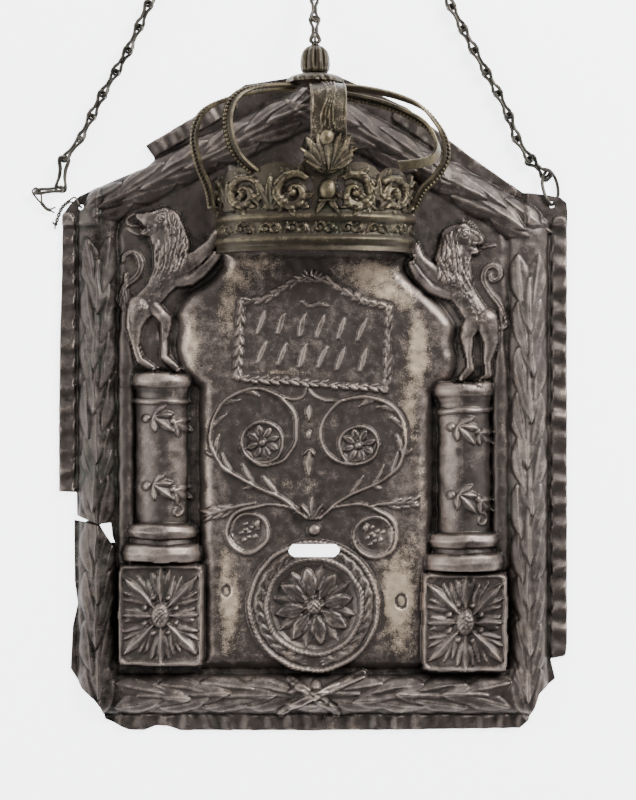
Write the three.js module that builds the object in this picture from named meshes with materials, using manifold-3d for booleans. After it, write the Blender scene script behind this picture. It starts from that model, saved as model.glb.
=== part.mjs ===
// A shield of embossed silver sheet with a half-round crown, hung from three chains.
// It lies on its back: +Z is its front, +Y its top, and the origin is on the back of the bottom rim.
import * as THREE from "three";
import { ConvexGeometry } from "three/addons/geometries/ConvexGeometry.js";
import { mergeVertices } from "three/addons/utils/BufferGeometryUtils.js";
import Module from "manifold-3d";

// Driving dimensions of the plate, in millimetres
const sheet = 1; // thickness of the embossed sheet
const clearance = 0.3; // gap between neighbouring pieces
const halfWidth = 139.5; // from the axis to the outer edge of a side rim
const bottomEdgeY = -4.1;
const shoulderY = 286; // where the straight sides end and the gable begins
const apexY = 355;
const rimWidth = 8.5;
const ribPitch = 11.8;
const ribHeight = 1.8;
const rimBreakY = 127; // the left rim is broken off below this height
const rollWidth = 22; // laurel garland
const rollHeight = 8.5;
const rollFlat = 0.42; // width of a roll's flat crest, as a share
const rollInset = 21.5; // from the outer edge to the middle of a side garland
const leafPitch = 24;
const leafRise = 2;
const mouldingWidth = 10.5;
const mouldingHeight = 4.5;

// Field between the columns
const fieldLeftX = -62;
const fieldRightX = 65;
const fieldBottomY = 30;
const fieldTopY = 255;
const fieldHeight = 6.5;
const fieldSlope = 6;

// Columns and pedestals: the right ones stand a little lower
const columnX = 83;
const columnRadius = 14.3;
const columnDepth = 0.82; // depth as a share of the half round
const shaftLength = 66;
const capitalHeight = 16;
const baseHeight = 21;
const baseRadius = 21.5;
const pedestalHalfWidth = 23.5;
const pedestalHeight = 56;
const pedestalDepth = 12;
const pedestalBottomY = 32;
const rightDrop = 5;
const lionHeight = 91;
const thinLimb = 7;

// Medallion, with its slot
const medallionX = 0.6;
const medallionY = 64.6;
const medallionRadius = 36.5;
const innerRopeRadius = 26.7;
const flowerRadius = 23;
const bossRadius = 5.3;
const petalCount = 8;
const slotLength = 28;
const slotWidth = 7.6;
const slotOffset = 30.3; // from the medallion's centre up to the slot's

// Cartouche and scrolls
const cartoucheX = -1;
const cartoucheBottomY = 186;
const cartoucheHalfWidth = 40;
const cartoucheSideHeight = 44;
const cartoucheGable = 15;
const frameWidth = 4;
const bigScrollRadius = 24;
const bigScrollX = 26.5;
const bigScrollY = 154;
const smallScrollRadius = 13.5;
const smallScrollX = 34.5;
const smallScrollY = 104.5;
const scrollStemWidth = 3.2;
const scrollRise = 2.4;

// Crown
const crownX = 1.2;
const crownHalfWidth = 53.5;
const crownProjection = 38;
const crownWall = 1.6;
const bandBottomY = 257;
const bandHeight = 19;
const coronetHeight = 24;
const strapThickness = 1.4;
const strapWidth = 7;
const frontStrapWidth = 19;
const capRadius = 15.4;
const capThickness = 6;
const capBottomY = 347.5;
const crownAxisZ = 22;
const outerFootZ = 16; // the outer straps clear the garland
const strapGather = 10.5; // distance from the crown's axis at which the straps end under the cap
const finialRadius = 8.2;
const finialHeight = 14.5;
const loopRadius = 2.8;

// Chains of folded wire links
const wire = 0.75; // radius
const linkPitch = 13.75;
const linkHalfWidth = 2.2;
const linkWaist = 1.3;
const linkHook = 0.12; // how far a link reaches past its joint, in wire radii
const tieWire = 0.45;
const topRingRadius = 11;
const topRingWire = 1;
const topRingY = 545;
const cornerHole = 2;
const tabRise = 2.4; // the corner tabs stand this high, so that a ring can pass behind them

const wasm = await Module();
wasm.setup();
const up = new THREE.Vector3(0, 0, 1);
const v = (x, y, z = 0) => new THREE.Vector3(x, y, z);

// A closed three.js geometry as a solid
function solid(geometry) {
  const loose = geometry.index ? geometry.toNonIndexed() : geometry.clone();
  loose.deleteAttribute("normal");
  loose.deleteAttribute("uv");
  const merged = mergeVertices(loose, 1e-4);
  const place = merged.attributes.position;
  const corners = merged.index.array;
  const kept = [];
  let volume = 0;
  for (let i = 0; i < corners.length; i += 3) {
    const [a, b, c] = corners.slice(i, i + 3);
    if (a === b || b === c || c === a) continue;
    kept.push(a, b, c);
    const [p, q, r] = [a, b, c].map((n) => new THREE.Vector3().fromBufferAttribute(place, n));
    volume += p.dot(q.cross(r));
  }
  if (volume < 0) kept.reverse();
  const vertProperties = Float32Array.from(place.array);
  const triVerts = Uint32Array.from(kept);
  return new wasm.Manifold(new wasm.Mesh({ numProp: 3, vertProperties, triVerts }));
}

const join = (solids) => solids.reduce((all, one) => all.add(one));
const cut = (body, tools) => tools.reduce((rest, tool) => rest.subtract(tool), body);
const hull = (points) => solid(new ConvexGeometry(points));

function geometryOf(body) {
  const mesh = body.getMesh();
  const places = new Float32Array(mesh.numVert * 3);
  for (let i = 0; i < mesh.numVert; i++) {
    places.set(mesh.vertProperties.subarray(i * mesh.numProp, i * mesh.numProp + 3), i * 3);
  }
  const geometry = new THREE.BufferGeometry();
  geometry.setAttribute("position", new THREE.BufferAttribute(places, 3));
  geometry.setIndex(new THREE.BufferAttribute(mesh.triVerts, 1));
  return geometry;
}

function block(x0, x1, y0, y1, z0, z1) {
  const box = new THREE.BoxGeometry(x1 - x0, y1 - y0, z1 - z0);
  return solid(box.translate((x0 + x1) / 2, (y0 + y1) / 2, (z0 + z1) / 2));
}

function prism(outline, z0, z1) {
  const shape = new THREE.Shape(outline.map(([x, y]) => new THREE.Vector2(x, y)));
  const settings = { depth: z1 - z0, bevelEnabled: false };
  return solid(new THREE.ExtrudeGeometry(shape, settings).translate(0, 0, z0));
}

// A section of [side, height] points carried along a line, whose top faces the given way
function sweep(points, section, top = up, closed = false) {
  const n = points.length;
  const m = section.length;
  const places = [];
  const corners = [];
  points.forEach((p, i) => {
    const before = closed ? points[(i + n - 1) % n] : points[Math.max(i - 1, 0)];
    const after = closed ? points[(i + 1) % n] : points[Math.min(i + 1, n - 1)];
    const along = after.clone().sub(before).normalize();
    const side = new THREE.Vector3().crossVectors(top, along).normalize();
    const rise = new THREE.Vector3().crossVectors(along, side);
    for (const [s, h] of section) {
      places.push(...p.clone().addScaledVector(side, s).addScaledVector(rise, h).toArray());
    }
  });
  for (let i = 0; i < (closed ? n : n - 1); i++) {
    for (let j = 0; j < m; j++) {
      const a = i * m + j;
      const b = i * m + ((j + 1) % m);
      const c = ((i + 1) % n) * m + ((j + 1) % m);
      const d = ((i + 1) % n) * m + j;
      corners.push(a, b, c, a, c, d);
    }
  }
  const last = (n - 1) * m;
  for (let j = 1; !closed && j < m - 1; j++) {
    corners.push(0, j + 1, j, last, last + j, last + j + 1);
  }
  const geometry = new THREE.BufferGeometry();
  geometry.setAttribute("position", new THREE.Float32BufferAttribute(places, 3));
  return solid(geometry.setIndex(corners));
}

const round = (radius, sides) =>
  Array.from({ length: sides }, (_, i) => {
    const turn = (2 * Math.PI * (i + 0.5)) / sides;
    return [radius * Math.cos(turn), radius * Math.sin(turn)];
  });
const ridge = (width, rise, sink) => [
  [-width / 2, -sink],
  [width / 2, -sink],
  [0, rise],
];
const curve = (points, steps, closed = false) =>
  new THREE.CatmullRomCurve3(points, closed).getSpacedPoints(steps).slice(0, closed ? -1 : undefined);

// A closed [radius, height] profile turned about +Z, or about +Y
function turned(profile, segments, axisY = false) {
  const lathe = new THREE.LatheGeometry(
    profile.map(([r, h]) => new THREE.Vector2(r, h)),
    segments,
  );
  if (!axisY) lathe.rotateX(Math.PI / 2);
  return lathe;
}

function ball(x, y, z, radius, flat = 1) {
  return solid(new THREE.IcosahedronGeometry(radius, 0).scale(1, 1, flat).translate(x, y, z));
}

// Corner points of a small ball, as one end of a limb: a thin limb has few sides
function knob([x, y, z, r]) {
  const ball = r > thinLimb ? new THREE.IcosahedronGeometry(r, 0) : new THREE.OctahedronGeometry(r, 0);
  const at = ball.attributes.position;
  return Array.from({ length: at.count }, (_, i) => new THREE.Vector3().fromBufferAttribute(at, i).add(v(x, y, z)));
}

function limb(knobs) {
  const parts = knobs.slice(1).map((end, i) => hull([...knob(knobs[i]), ...knob(end)]));
  return join(parts);
}

// A leaf with a raised midrib, lying on the surface that the function height gives
function leaf(x, y, angle, length, width, rise, height) {
  const [ux, uy] = [Math.cos(angle), Math.sin(angle)];
  const at = (along, side, lift) => {
    const px = x + ux * along - uy * side;
    const py = y + uy * along + ux * side;
    return v(px, py, height(px, py) + lift);
  };
  const sink = -0.5;
  return hull([
    at(0, 0, sink),
    at(length * 0.4, -width / 2, sink),
    at(length * 0.4, width / 2, sink),
    at(length, 0, sink),
    at(length * 0.3, 0, rise),
  ]);
}

const level = (z) => () => z;

// Rolls of the garland: a half-round bar, its hollow and its leaves
function roll(from, to, width, height) {
  const half = width / 2;
  const section = [[half, -1], [half, 0], [half * rollFlat, height], [-half * rollFlat, height], [-half, 0], [-half, -1]];
  return sweep([from, to], section);
}

function rollLeaves(from, to, skip = 0) {
  const along = to.clone().sub(from);
  const angle = Math.atan2(along.y, along.x);
  const direction = along.clone().normalize();
  const count = Math.floor(along.length() / leafPitch);
  const height = (x, y) => {
    const side = (x - from.x) * -direction.y + (y - from.y) * direction.x;
    const share = Math.min(1, (2 * Math.abs(side)) / rollWidth);
    return rollHeight * Math.min(1, (1 - share) / (1 - rollFlat));
  };
  const leaves = [];
  for (let i = skip; i < count; i++) {
    for (const side of [-1, 0, 1]) {
      const start = direction.clone().multiplyScalar(leafPitch * (i + (side ? 0.5 : 0)) + 1);
      const [sx, sy] = [-direction.y * side * rollWidth * 0.35, direction.x * side * rollWidth * 0.35];
      const width = rollWidth * (side ? 0.24 : 0.36);
      const turn = angle + side * 0.05;
      const [x, y] = [from.x + start.x + sx, from.y + start.y + sy];
      leaves.push(leaf(x, y, turn, leafPitch * 0.9, width, leafRise, height));
    }
  }
  return leaves;
}

// The outline of the sheet, with the broken rim at the left and the bent lower corners
function sheetOutline() {
  const left = -halfWidth;
  const right = halfWidth;
  const inLeft = left + rimWidth + 1;
  return [
    [left + 23, bottomEdgeY + 7],
    [left + 13, bottomEdgeY + 24],
    [left + 6.5, bottomEdgeY + 34],
    [left + 7.5, bottomEdgeY + 57],
    [left + 10, bottomEdgeY + 70],
    [left + 8.5, rimBreakY - 44],
    [left + 8.5, rimBreakY - 10],
    [inLeft, rimBreakY],
    [left, rimBreakY],
    [left, shoulderY - 8],
    [left + 8, shoulderY - 1],
    [left + 28, shoulderY + 9],
    [left + 53, shoulderY + 23.5],
    [left + 47.6, shoulderY + 31],
    [left + 90.5, apexY - 12.5],
    [left + 102, apexY - 3.8],
    [-13.8, apexY - 3.8],
    [0, apexY],
    [17, apexY - 1.6],
    [right - 88, apexY - 17],
    [right - 68.5, apexY - 32],
    [right - 53.7, apexY - 43.5],
    [right - 33.3, shoulderY + 11.3],
    [right - 24, shoulderY + 5],
    [right - 13.5, shoulderY + 4],
    [right - 2, shoulderY + 0.8],
    [right, shoulderY - 4],
    [right, bottomEdgeY + 41],
    [right - 9.3, bottomEdgeY + 39.6],
    [right - 6.5, bottomEdgeY + 28.6],
    [right - 15.7, bottomEdgeY + 21],
    [right - 18.5, bottomEdgeY + 12.6],
    [right - 22.5, bottomEdgeY + 3.8],
    [right - 25, bottomEdgeY],
    [left + 67, bottomEdgeY],
    [left + 60, bottomEdgeY + 2.7],
    [left + 53, bottomEdgeY + 2.7],
    [left + 46, bottomEdgeY],
    [left + 38, bottomEdgeY + 0.5],
    [left + 25.5, bottomEdgeY + 4],
  ];
}

// Ribs across a flat rim, from one point to another along its middle line
function ribs(from, to) {
  const along = to.clone().sub(from);
  const direction = along.clone().normalize();
  const side = v(-direction.y, direction.x);
  const reach = rimWidth * 0.46;
  const count = Math.floor(along.length() / ribPitch);
  return Array.from({ length: count }, (_, i) => {
    const middle = from.clone().addScaledVector(direction, ribPitch * (i + 0.5));
    const corner = (s, a, z) => middle.clone().addScaledVector(side, s * reach).addScaledVector(direction, a).setZ(z);
    return hull([
      corner(-1, -2.6, sheet / 2),
      corner(-1, 2.6, sheet / 2),
      corner(1, -2.6, sheet / 2),
      corner(1, 2.6, sheet / 2),
      corner(-0.8, 0, sheet + ribHeight),
      corner(0.9, 0, sheet + ribHeight),
    ]);
  });
}

// Garland lines: both sides, both slopes of the gable and the two halves of the bottom
const rollX = halfWidth - rollInset;
const rollBottomY = bottomEdgeY + 20;
const rollTopY = apexY - 16;
const rollCorner = { left: v(-rollX, shoulderY - 3), right: v(rollX, shoulderY - 13.5) };
const rollLines = [
  [rollCorner.left, v(-rollX, rollBottomY)],
  [rollCorner.right, v(rollX, rollBottomY)],
  [v(0, rollTopY), rollCorner.left],
  [v(0, rollTopY), rollCorner.right],
  [v(-rollX, rollBottomY), v(-10, rollBottomY)],
  [v(rollX, rollBottomY), v(10, rollBottomY)],
];

function garlands() {
  const bars = rollLines.map(([from, to]) => roll(from, to, rollWidth, rollHeight));
  const knuckles = [rollLines[2][0], rollCorner.left, rollCorner.right, rollLines[0][1], rollLines[1][1]];
  const domes = knuckles.map((p) => rollDome(p, rollWidth / 2, rollHeight));
  const bottom = roll(v(-12, rollBottomY), v(12, rollBottomY), rollWidth, rollHeight);
  const leaves = rollLines.flatMap(([from, to]) => rollLeaves(from, to));
  return [...bars, ...domes, bottom, ...leaves];
}

// The rounded corner where two rolls meet
function rollDome(centre, radius, height) {
  const profile = [[0, -1], [radius, -1], [radius, 0.1], [radius * 0.8, height * 0.6], [radius * 0.45, height * 0.9], [0, height]];
  return solid(turned(profile, 8).translate(centre.x, centre.y, 0));
}

function garlandHollows() {
  const width = rollWidth - 2 * sheet;
  const height = rollHeight - sheet;
  const bars = rollLines.map(([from, to]) => roll(from, to, width, height));
  return [...bars, roll(v(-12, rollBottomY), v(12, rollBottomY), width, height)];
}

// Two crossed ribbons with a bead, over the middle of the bottom garland
function ribbons() {
  const top = rollBottomY;
  const strip = ridge(5.5, 1.2, 3);
  const high = rollHeight + 1;
  const first = [v(-13, top + 8, 5), v(-4, top + 3, high), v(6, top - 4, high), v(14, top - 9, 5)];
  const second = [v(-15, top - 9, 5), v(-5, top - 3, high), v(8, top + 3, high), v(26, top + 8, 6)];
  return [sweep(first, strip), sweep(second, strip), ball(1.7, top + 6.5, high, 2.4)];
}

// The raised field, with sloping edges
function field(inset, height) {
  const low = inset;
  const high = inset + fieldSlope;
  const corners = (d, z) => [
    v(fieldLeftX + d, fieldBottomY + d, z),
    v(fieldRightX - d, fieldBottomY + d, z),
    v(fieldRightX - d, fieldTopY - d, z),
    v(fieldLeftX + d, fieldTopY - d, z),
  ];
  const waist = (d, z) => [
    v(fieldLeftX + d, (fieldBottomY + fieldTopY) / 2, z),
    v(fieldRightX - d, (fieldBottomY + fieldTopY) / 2, z),
  ];
  return hull([...corners(low, -1), ...corners(low, 0), ...corners(high, height), ...waist(high, height)]);
}

// One half column on its base, with its capital
function column(side) {
  const foot = side.pedestalTop + 1;
  const shaft = foot + baseHeight;
  const neck = shaft + shaftLength;
  const top = side.columnTop;
  const r = columnRadius;
  const profile = [
    [0, foot],
    [baseRadius - 1, foot],
    [baseRadius, foot + 3.5],
    [baseRadius - 2, foot + 8],
    [r + 1.5, foot + 9.5],
    [r + 1.5, foot + 13],
    [baseRadius - 3, foot + 14],
    [baseRadius - 3, foot + 19],
    [r, shaft],
    [r - 0.6, neck],
    [r + 1, neck + 1.5],
    [r - 1.5, neck + 4],
    [r - 1.5, neck + 8.5],
    [r + 1.6, neck + 10],
    [r + 1.6, top - 1],
    [r, top],
    [0, top],
  ];
  return solid(turned(profile, 12, true).scale(1, 1, columnDepth).translate(side.sign * columnX, 0, 0));
}

function columnHollow(side) {
  const foot = side.pedestalTop + 1 + sheet;
  const profile = [[0, foot], [columnRadius - 2.6, foot], [columnRadius - 2.6, side.columnTop - sheet - 1], [0, side.columnTop - sheet - 1]];
  return solid(turned(profile, 12, true).scale(1, 1, columnDepth).translate(side.sign * columnX, 0, 0));
}

// Two sprigs on a shaft: a three-lobed leaf between beads
function sprigs(side) {
  const front = columnRadius * columnDepth;
  const x = side.sign * columnX;
  const surface = (px) => {
    const share = Math.min(1, Math.abs(px - x) / columnRadius);
    return front * Math.sqrt(1 - share * share) - 0.3;
  };
  const base = side.pedestalTop + 1 + baseHeight;
  return [0.3, 0.78].flatMap((share) => {
    const y = base + shaftLength * share;
    const lobes = [-0.9, 0, 0.9].map((turn) => leaf(x - 3, y, -0.35 + turn, 9, 4, 1.6, surface));
    const beads = [[-7, 3], [8, -6]].map(([dx, dy]) => ball(x + dx, y + dy, surface(x + dx), 2));
    return [...lobes, ...beads];
  });
}

// A square pedestal with a sunk panel, eight leaves and a boss
function pedestal(side) {
  const x = side.sign * columnX;
  const bottom = side.pedestalBottom;
  const top = side.pedestalTop;
  const w = pedestalHalfWidth;
  const face = pedestalDepth;
  const ring = (dx, z) => [
    v(x - w + dx, bottom + dx, z),
    v(x + w - dx, bottom + dx, z),
    v(x + w - dx, top - dx, z),
    v(x - w + dx, top - dx, z),
  ];
  const body = hull([...ring(0, -1), ...ring(0, face - 1.5), ...ring(1.2, face + 1)]);
  const sunk = hull([...ring(3, face + 2), ...ring(4, face - 1)]);
  const middle = (bottom + top) / 2;
  const leaves = Array.from({ length: 8 }, (_, i) => {
    const angle = (Math.PI * i) / 4;
    const reach = i % 2 ? 24.5 : 17.5;
    return leaf(x + 3.5 * Math.cos(angle), middle + 3.5 * Math.sin(angle), angle, reach, i % 2 ? 9 : 5, 2.2, level(face - 0.8));
  });
  return [body.subtract(sunk), ...leaves, ball(x, middle, face, 5.4, 0.7)];
}

function pedestalHollow(side) {
  const x = side.sign * columnX;
  const w = pedestalHalfWidth - sheet - 0.2;
  return block(x - w, x + w, side.pedestalBottom + sheet, side.pedestalTop - sheet, -1, pedestalDepth - 1 - sheet);
}

// A lion rampant in low relief, its head turned outward. Places are shares of its height, x positive outward.
function lion(side) {
  const size = lionHeight;
  const centre = columnX + 1;
  const floor = side.columnTop - 1;
  const knobs = (list) => list.map(([x, y, z, r]) => [side.sign * (centre + x * size), floor + y * size, z * size, r * size]);
  const parts = [
    [[-0.01, 0.47, 0.03, 0.1], [0.1, 0.27, 0.03, 0.095]], // trunk
    [[0.01, 0.66, 0.045, 0.13], [0.02, 0.48, 0.03, 0.11]], // mane
    [[0.04, 0.8, 0.05, 0.115], [0.01, 0.64, 0.045, 0.12]], // crest of the mane
    [[0.1, 0.78, 0.07, 0.07], [0.19, 0.76, 0.06, 0.035]], // muzzle
    [[0.1, 0.72, 0.05, 0.04], [0.17, 0.69, 0.05, 0.022]], // lower jaw
    [[-0.06, 0.5, 0.05, 0.05], [-0.15, 0.66, 0.06, 0.035], [-0.24, 0.82, 0.06, 0.03]], // upper foreleg
    [[-0.02, 0.4, 0.05, 0.04], [-0.14, 0.44, 0.06, 0.03], [-0.24, 0.6, 0.05, 0.028]], // lower foreleg
    [[0.1, 0.25, 0.05, 0.08], [0.16, 0.12, 0.05, 0.05], [0.13, 0.05, 0.03, 0.03], [0.06, 0.03, 0.02, 0.03]], // outer hind leg
    [[0.02, 0.24, 0.06, 0.065], [-0.05, 0.14, 0.06, 0.045], [-0.02, 0.05, 0.03, 0.03], [-0.11, 0.03, 0.02, 0.03]], // inner hind leg
    [[0.18, 0.27, 0.02, 0.03], [0.22, 0.42, 0.015, 0.024], [0.12, 0.52, 0.015, 0.022], [0.17, 0.6, 0.015, 0.035]], // tail
  ];
  return parts.map((list) => limb(knobs(list)));
}

// The cartouche: a frame with a low gable round two rows of plain strokes
function cartouche() {
  const outline = (d) => {
    const w = cartoucheHalfWidth - d;
    const bottom = cartoucheBottomY + d;
    const side = cartoucheBottomY + cartoucheSideHeight - d * 0.8;
    return [
      [cartoucheX - w, bottom],
      [cartoucheX + w, bottom],
      [cartoucheX + w, side],
      [cartoucheX + w * 0.2, side + cartoucheGable],
      [cartoucheX - w * 0.2, side + cartoucheGable],
      [cartoucheX - w, side],
    ];
  };
  const top = fieldHeight + 2.4;
  const frame = prism(outline(0), sheet, top).subtract(prism(outline(frameWidth), 0, top + 1));
  const beads = outline(frameWidth / 2).map(([x, y]) => ball(x, y, top, 2.6, 0.6));
  const strokes = [];
  const pitch = cartoucheHalfWidth / 3;
  for (const row of [0.3, 0.7]) {
    for (let i = -2; i <= 2; i++) {
      const x = cartoucheX + i * pitch;
      const y = cartoucheBottomY + cartoucheSideHeight * row + 1;
      strokes.push(block(x - 1.4, x + 1.4, y - 6, y + 6, sheet, fieldHeight + 1.2));
    }
  }
  return [frame, ...beads, ...strokes];
}

// Ridges of the two pairs of scrolls, with a rosette in each and the drops on the axis
function scrolls() {
  const section = ridge(scrollStemWidth, scrollRise, 1.5);
  const z = fieldHeight;
  const made = [];
  for (const s of [-1, 1]) {
    const spiral = [v(s * 2.5, smallScrollY + 8.5, z), v(s * 18, smallScrollY + 21, z), v(s * 38, smallScrollY + 29, z)];
    for (let i = 0; i <= 11; i++) {
      const angle = -2.6 - (i * 6.6) / 11;
      const r = i < 5 ? bigScrollRadius + 5.5 - i * 0.6 : bigScrollRadius + 3 - (i - 4) * 2.3;
      spiral.push(v(s * (bigScrollX - r * Math.cos(angle)) , bigScrollY + r * Math.sin(angle), z));
    }
    made.push(sweep(curve(spiral.slice(0, 3).concat(spiral.slice(4)), 18), section));
    const small = Array.from({ length: 9 }, (_, i) => {
      const angle = -0.5 + (i * 5.4) / 8;
      return v(s * (smallScrollX + smallScrollRadius * Math.cos(angle + 1)), smallScrollY + smallScrollRadius * Math.sin(angle + 1), z);
    });
    made.push(sweep([v(s * 4, smallScrollY + 6, z), ...small.slice(1)], section));
    made.push(...rosette(s * bigScrollX, bigScrollY, 8.5), ...rosette(s * smallScrollX, smallScrollY, 5.5));
    made.push(leaf(s * 49, smallScrollY - 9, s > 0 ? 0.6 : Math.PI - 0.6, 12, 4, 1.6, level(z)));
    for (const [x, y, turn] of [[24, 126, 0.3], [33, 132, 0.5], [43, 140, 1.2]]) {
      made.push(leaf(s * x, y, s > 0 ? turn + 0.9 : Math.PI - turn - 0.9, 9, 3.6, 1.6, level(z)));
    }
  }
  made.push(leaf(-1, 176, -Math.PI / 2, 11, 6, 2, level(z)), ball(-1, 158.5, z, 2.6));
  made.push(leaf(-1, 151, -Math.PI / 2, 16, 7, 2, level(z)), leaf(-1, 112, Math.PI / 2, 15, 8, 2, level(z)));
  made.push(ball(0.6, 107, z + 0.5, 3.6));
  return made;
}

function rosette(x, y, radius) {
  const petals = Array.from({ length: 5 }, (_, i) => {
    const angle = (Math.PI * i) / 2.5;
    return leaf(x + 1.2 * Math.cos(angle), y + 1.2 * Math.sin(angle), angle, radius - 1, radius * 0.5, 1.2, level(fieldHeight));
  });
  return [...petals, ball(x, y, fieldHeight + 1, 1.8)];
}

// The round medallion: two rope rings, a ring of laurel and a flower with a boss
function medallion() {
  const base = fieldHeight + 0.8;
  const profile = [
    [0, -1],
    [medallionRadius, -1],
    [medallionRadius, base + 1],
    [medallionRadius - 1, base + 2.2],
    [medallionRadius - 2.2, base + 2.2],
    [medallionRadius - 3, base],
    [innerRopeRadius + 1.6, base],
    [innerRopeRadius + 0.8, base + 1.8],
    [innerRopeRadius - 0.8, base + 1.8],
    [innerRopeRadius - 1.6, base],
    [0, base],
  ];
  const disc = solid(turned(profile, 20).translate(medallionX, medallionY, 0));
  const petals = [];
  for (let i = 0; i < petalCount; i++) {
    const angle = (2 * Math.PI * i) / petalCount + 0.2;
    const between = angle + Math.PI / petalCount;
    const at = (turn, r) => [medallionX + r * Math.cos(turn), medallionY + r * Math.sin(turn)];
    petals.push(leaf(...at(angle, 4), angle, flowerRadius - 4, 10.5, 3.6, level(base)));
    petals.push(leaf(...at(between, 9), between, flowerRadius - 8, 4.5, 1.8, level(base)));
  }
  const laurels = [];
  const laurelRadius = (medallionRadius + innerRopeRadius) / 2 - 0.7;
  for (let i = 0; i < 14; i++) {
    const turn = (2 * Math.PI * (i + 0.5)) / 14 - Math.PI / 2;
    const outward = i < 7 ? 1 : -1;
    const [x, y] = [medallionX + laurelRadius * Math.cos(turn), medallionY + laurelRadius * Math.sin(turn)];
    const angle = turn + (outward * Math.PI) / 2;
    laurels.push(leaf(x - 5.5 * Math.cos(angle), y - 5.5 * Math.sin(angle), angle, 11, 5, 1.6, level(base)));
  }
  return [disc, ...petals, ...laurels, ball(medallionX, medallionY, base + 2, bossRadius, 0.8)];
}

function medallionHollow() {
  const top = fieldHeight + 0.8 - sheet;
  const profile = [[0, -2], [medallionRadius - sheet, -2], [medallionRadius - sheet, top], [0, top]];
  return solid(turned(profile, 20).translate(medallionX, medallionY, 0));
}

// The slot through the medallion, the tear at the left, and the holes for the chains
function cuts() {
  const y = medallionY + slotOffset;
  const slot = block(medallionX - slotLength / 2, medallionX + slotLength / 2, y - slotWidth / 2, y + slotWidth / 2, -5, 40);
  const inner = -halfWidth + 23;
  const crackY = rimBreakY - 18;
  const tear = prism(
    [
      [-halfWidth - 2, crackY + 8],
      [-halfWidth + 10, crackY + 4.8],
      [inner, crackY + 1],
      [inner + 6, crackY - 7],
      [inner + 10.5, crackY - 16],
      [inner + 9.7, crackY - 16.2],
      [inner + 4.5, crackY - 8],
      [inner, crackY - 7],
      [inner - 0.4, crackY - 0.2],
      [-halfWidth + 10, crackY + 3.6],
      [-halfWidth - 2, crackY + 5.5],
    ],
    -5,
    40,
  );
  const holes = cornerHoles.map(([x, hy, radius]) => solid(turned([[0, -5], [radius, -5], [radius, 9], [0, 9]], 10).translate(x, hy, 0)));
  return [slot, tear, ...holes];
}

// Raised corner tabs: the sheet bends up there and the rings pass behind it
const ringHole = v(halfWidth - 8.6, shoulderY - 1.5);
const tieHole = v(-halfWidth + 12.5, shoulderY - 3);
const cornerHoles = [
  [ringHole.x, ringHole.y, cornerHole],
  [tieHole.x, tieHole.y, cornerHole * 0.85],
];

function cornerTab(sign, outline) {
  const edge = sign * halfWidth;
  const inner = sign * (halfWidth - 22);
  const [x0, x1] = [Math.min(edge, inner) - 1, Math.max(edge, inner) + 1];
  const [y0, y1] = [shoulderY - 14, shoulderY + 12];
  const within = block(x0, x1, y0, y1, -5, 20);
  const raised = prism(outline, tabRise, tabRise + sheet).intersect(within);
  const riser = prism(outline, 0, tabRise + sheet).intersect(block(x0, x1, y0, y0 + sheet, -5, 20));
  const under = block(x0, x1, y0 + sheet, y1, -2, tabRise);
  return { raised: raised.add(riser), under };
}

// Both sides share one drawing: the right one stands lower by its drop
const sides = [
  { sign: -1, drop: 0 },
  { sign: 1, drop: rightDrop },
].map((side) => {
  const pedestalBottom = pedestalBottomY - side.drop * 0.6;
  const pedestalTop = pedestalBottom + pedestalHeight - side.drop * 0.4;
  const columnTop = pedestalTop + 1 + baseHeight + shaftLength + capitalHeight;
  return { ...side, pedestalBottom, pedestalTop, columnTop };
});

function plate() {
  const outline = sheetOutline();
  const ground = prism(outline, 0, sheet);
  const mouldings = [-1, 1].map((sign) => {
    const x = sign * (rollX - rollWidth / 2 - mouldingWidth / 2 + 1);
    return roll(v(x, pedestalBottomY + pedestalHeight), v(x, shoulderY - 30), mouldingWidth, mouldingHeight);
  });
  const rimX = halfWidth - rimWidth / 2;
  const rims = [
    ...ribs(v(rimX, bottomEdgeY + 42), v(rimX, shoulderY - 15)),
    ...ribs(v(-rimX, rimBreakY), v(-rimX, shoulderY - 15)),
    ...ribs(v(-halfWidth + 26, bottomEdgeY + rimWidth / 2 + 0.4), v(halfWidth - 24, bottomEdgeY + rimWidth / 2 + 0.4)),
    ...ribs(v(halfWidth - 90, apexY - 21.5), v(halfWidth - 36, shoulderY + 8)),
  ];
  const tabs = [-1, 1].map((sign) => cornerTab(sign, outline));
  const raised = [
    ...garlands(),
    ...ribbons(),
    ...mouldings,
    field(0, fieldHeight),
    ...sides.flatMap((side) => [...pedestal(side), column(side), ...sprigs(side), ...lion(side)]),
    ...cartouche(),
    ...scrolls(),
    ...medallion(),
  ];
  const hollows = [
    ...garlandHollows(),
    field(sheet * 1.3, fieldHeight - sheet),
    ...sides.flatMap((side) => [columnHollow(side), pedestalHollow(side)]),
    medallionHollow(),
  ];
  const open = cut(ground, tabs.map((tab) => tab.under));
  const body = join([open, ...rims, ...tabs.map((tab) => tab.raised), ...raised]);
  const below = block(-500, 500, -500, 900, -60, 0);
  const shell = cut(body, [...hollows, ...cuts(), below]);
  return shell;
}

// A wall or band that follows the crown's half ellipse, from a closed [offset, height] profile
function crownRing(profile, segments = 28) {
  const lathe = turned(
    profile.map(([offset, y]) => [crownHalfWidth + offset, y]),
    segments,
    true,
  );
  const places = lathe.attributes.position;
  for (let i = 0; i < places.count; i++) {
    const [x, z] = [places.getX(i), places.getZ(i)];
    const offset = Math.hypot(x, z) - crownHalfWidth;
    const place = onCrown(Math.atan2(x, z), offset);
    places.setX(i, place.x);
    places.setZ(i, place.z);
  }
  const front = block(-200, 200, 0, 900, sheet + clearance, 200);
  const garland = rollLines.slice(2, 4).map(([from, to]) => {
    const room = 2 * clearance;
    return roll(from, to, rollWidth + 2 * room + 1, rollHeight + leafRise + room);
  });
  return cut(solid(lathe).intersect(front), garland);
}

const bandTopY = bandBottomY + bandHeight;
const coronetTopY = bandTopY + coronetHeight;
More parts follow.
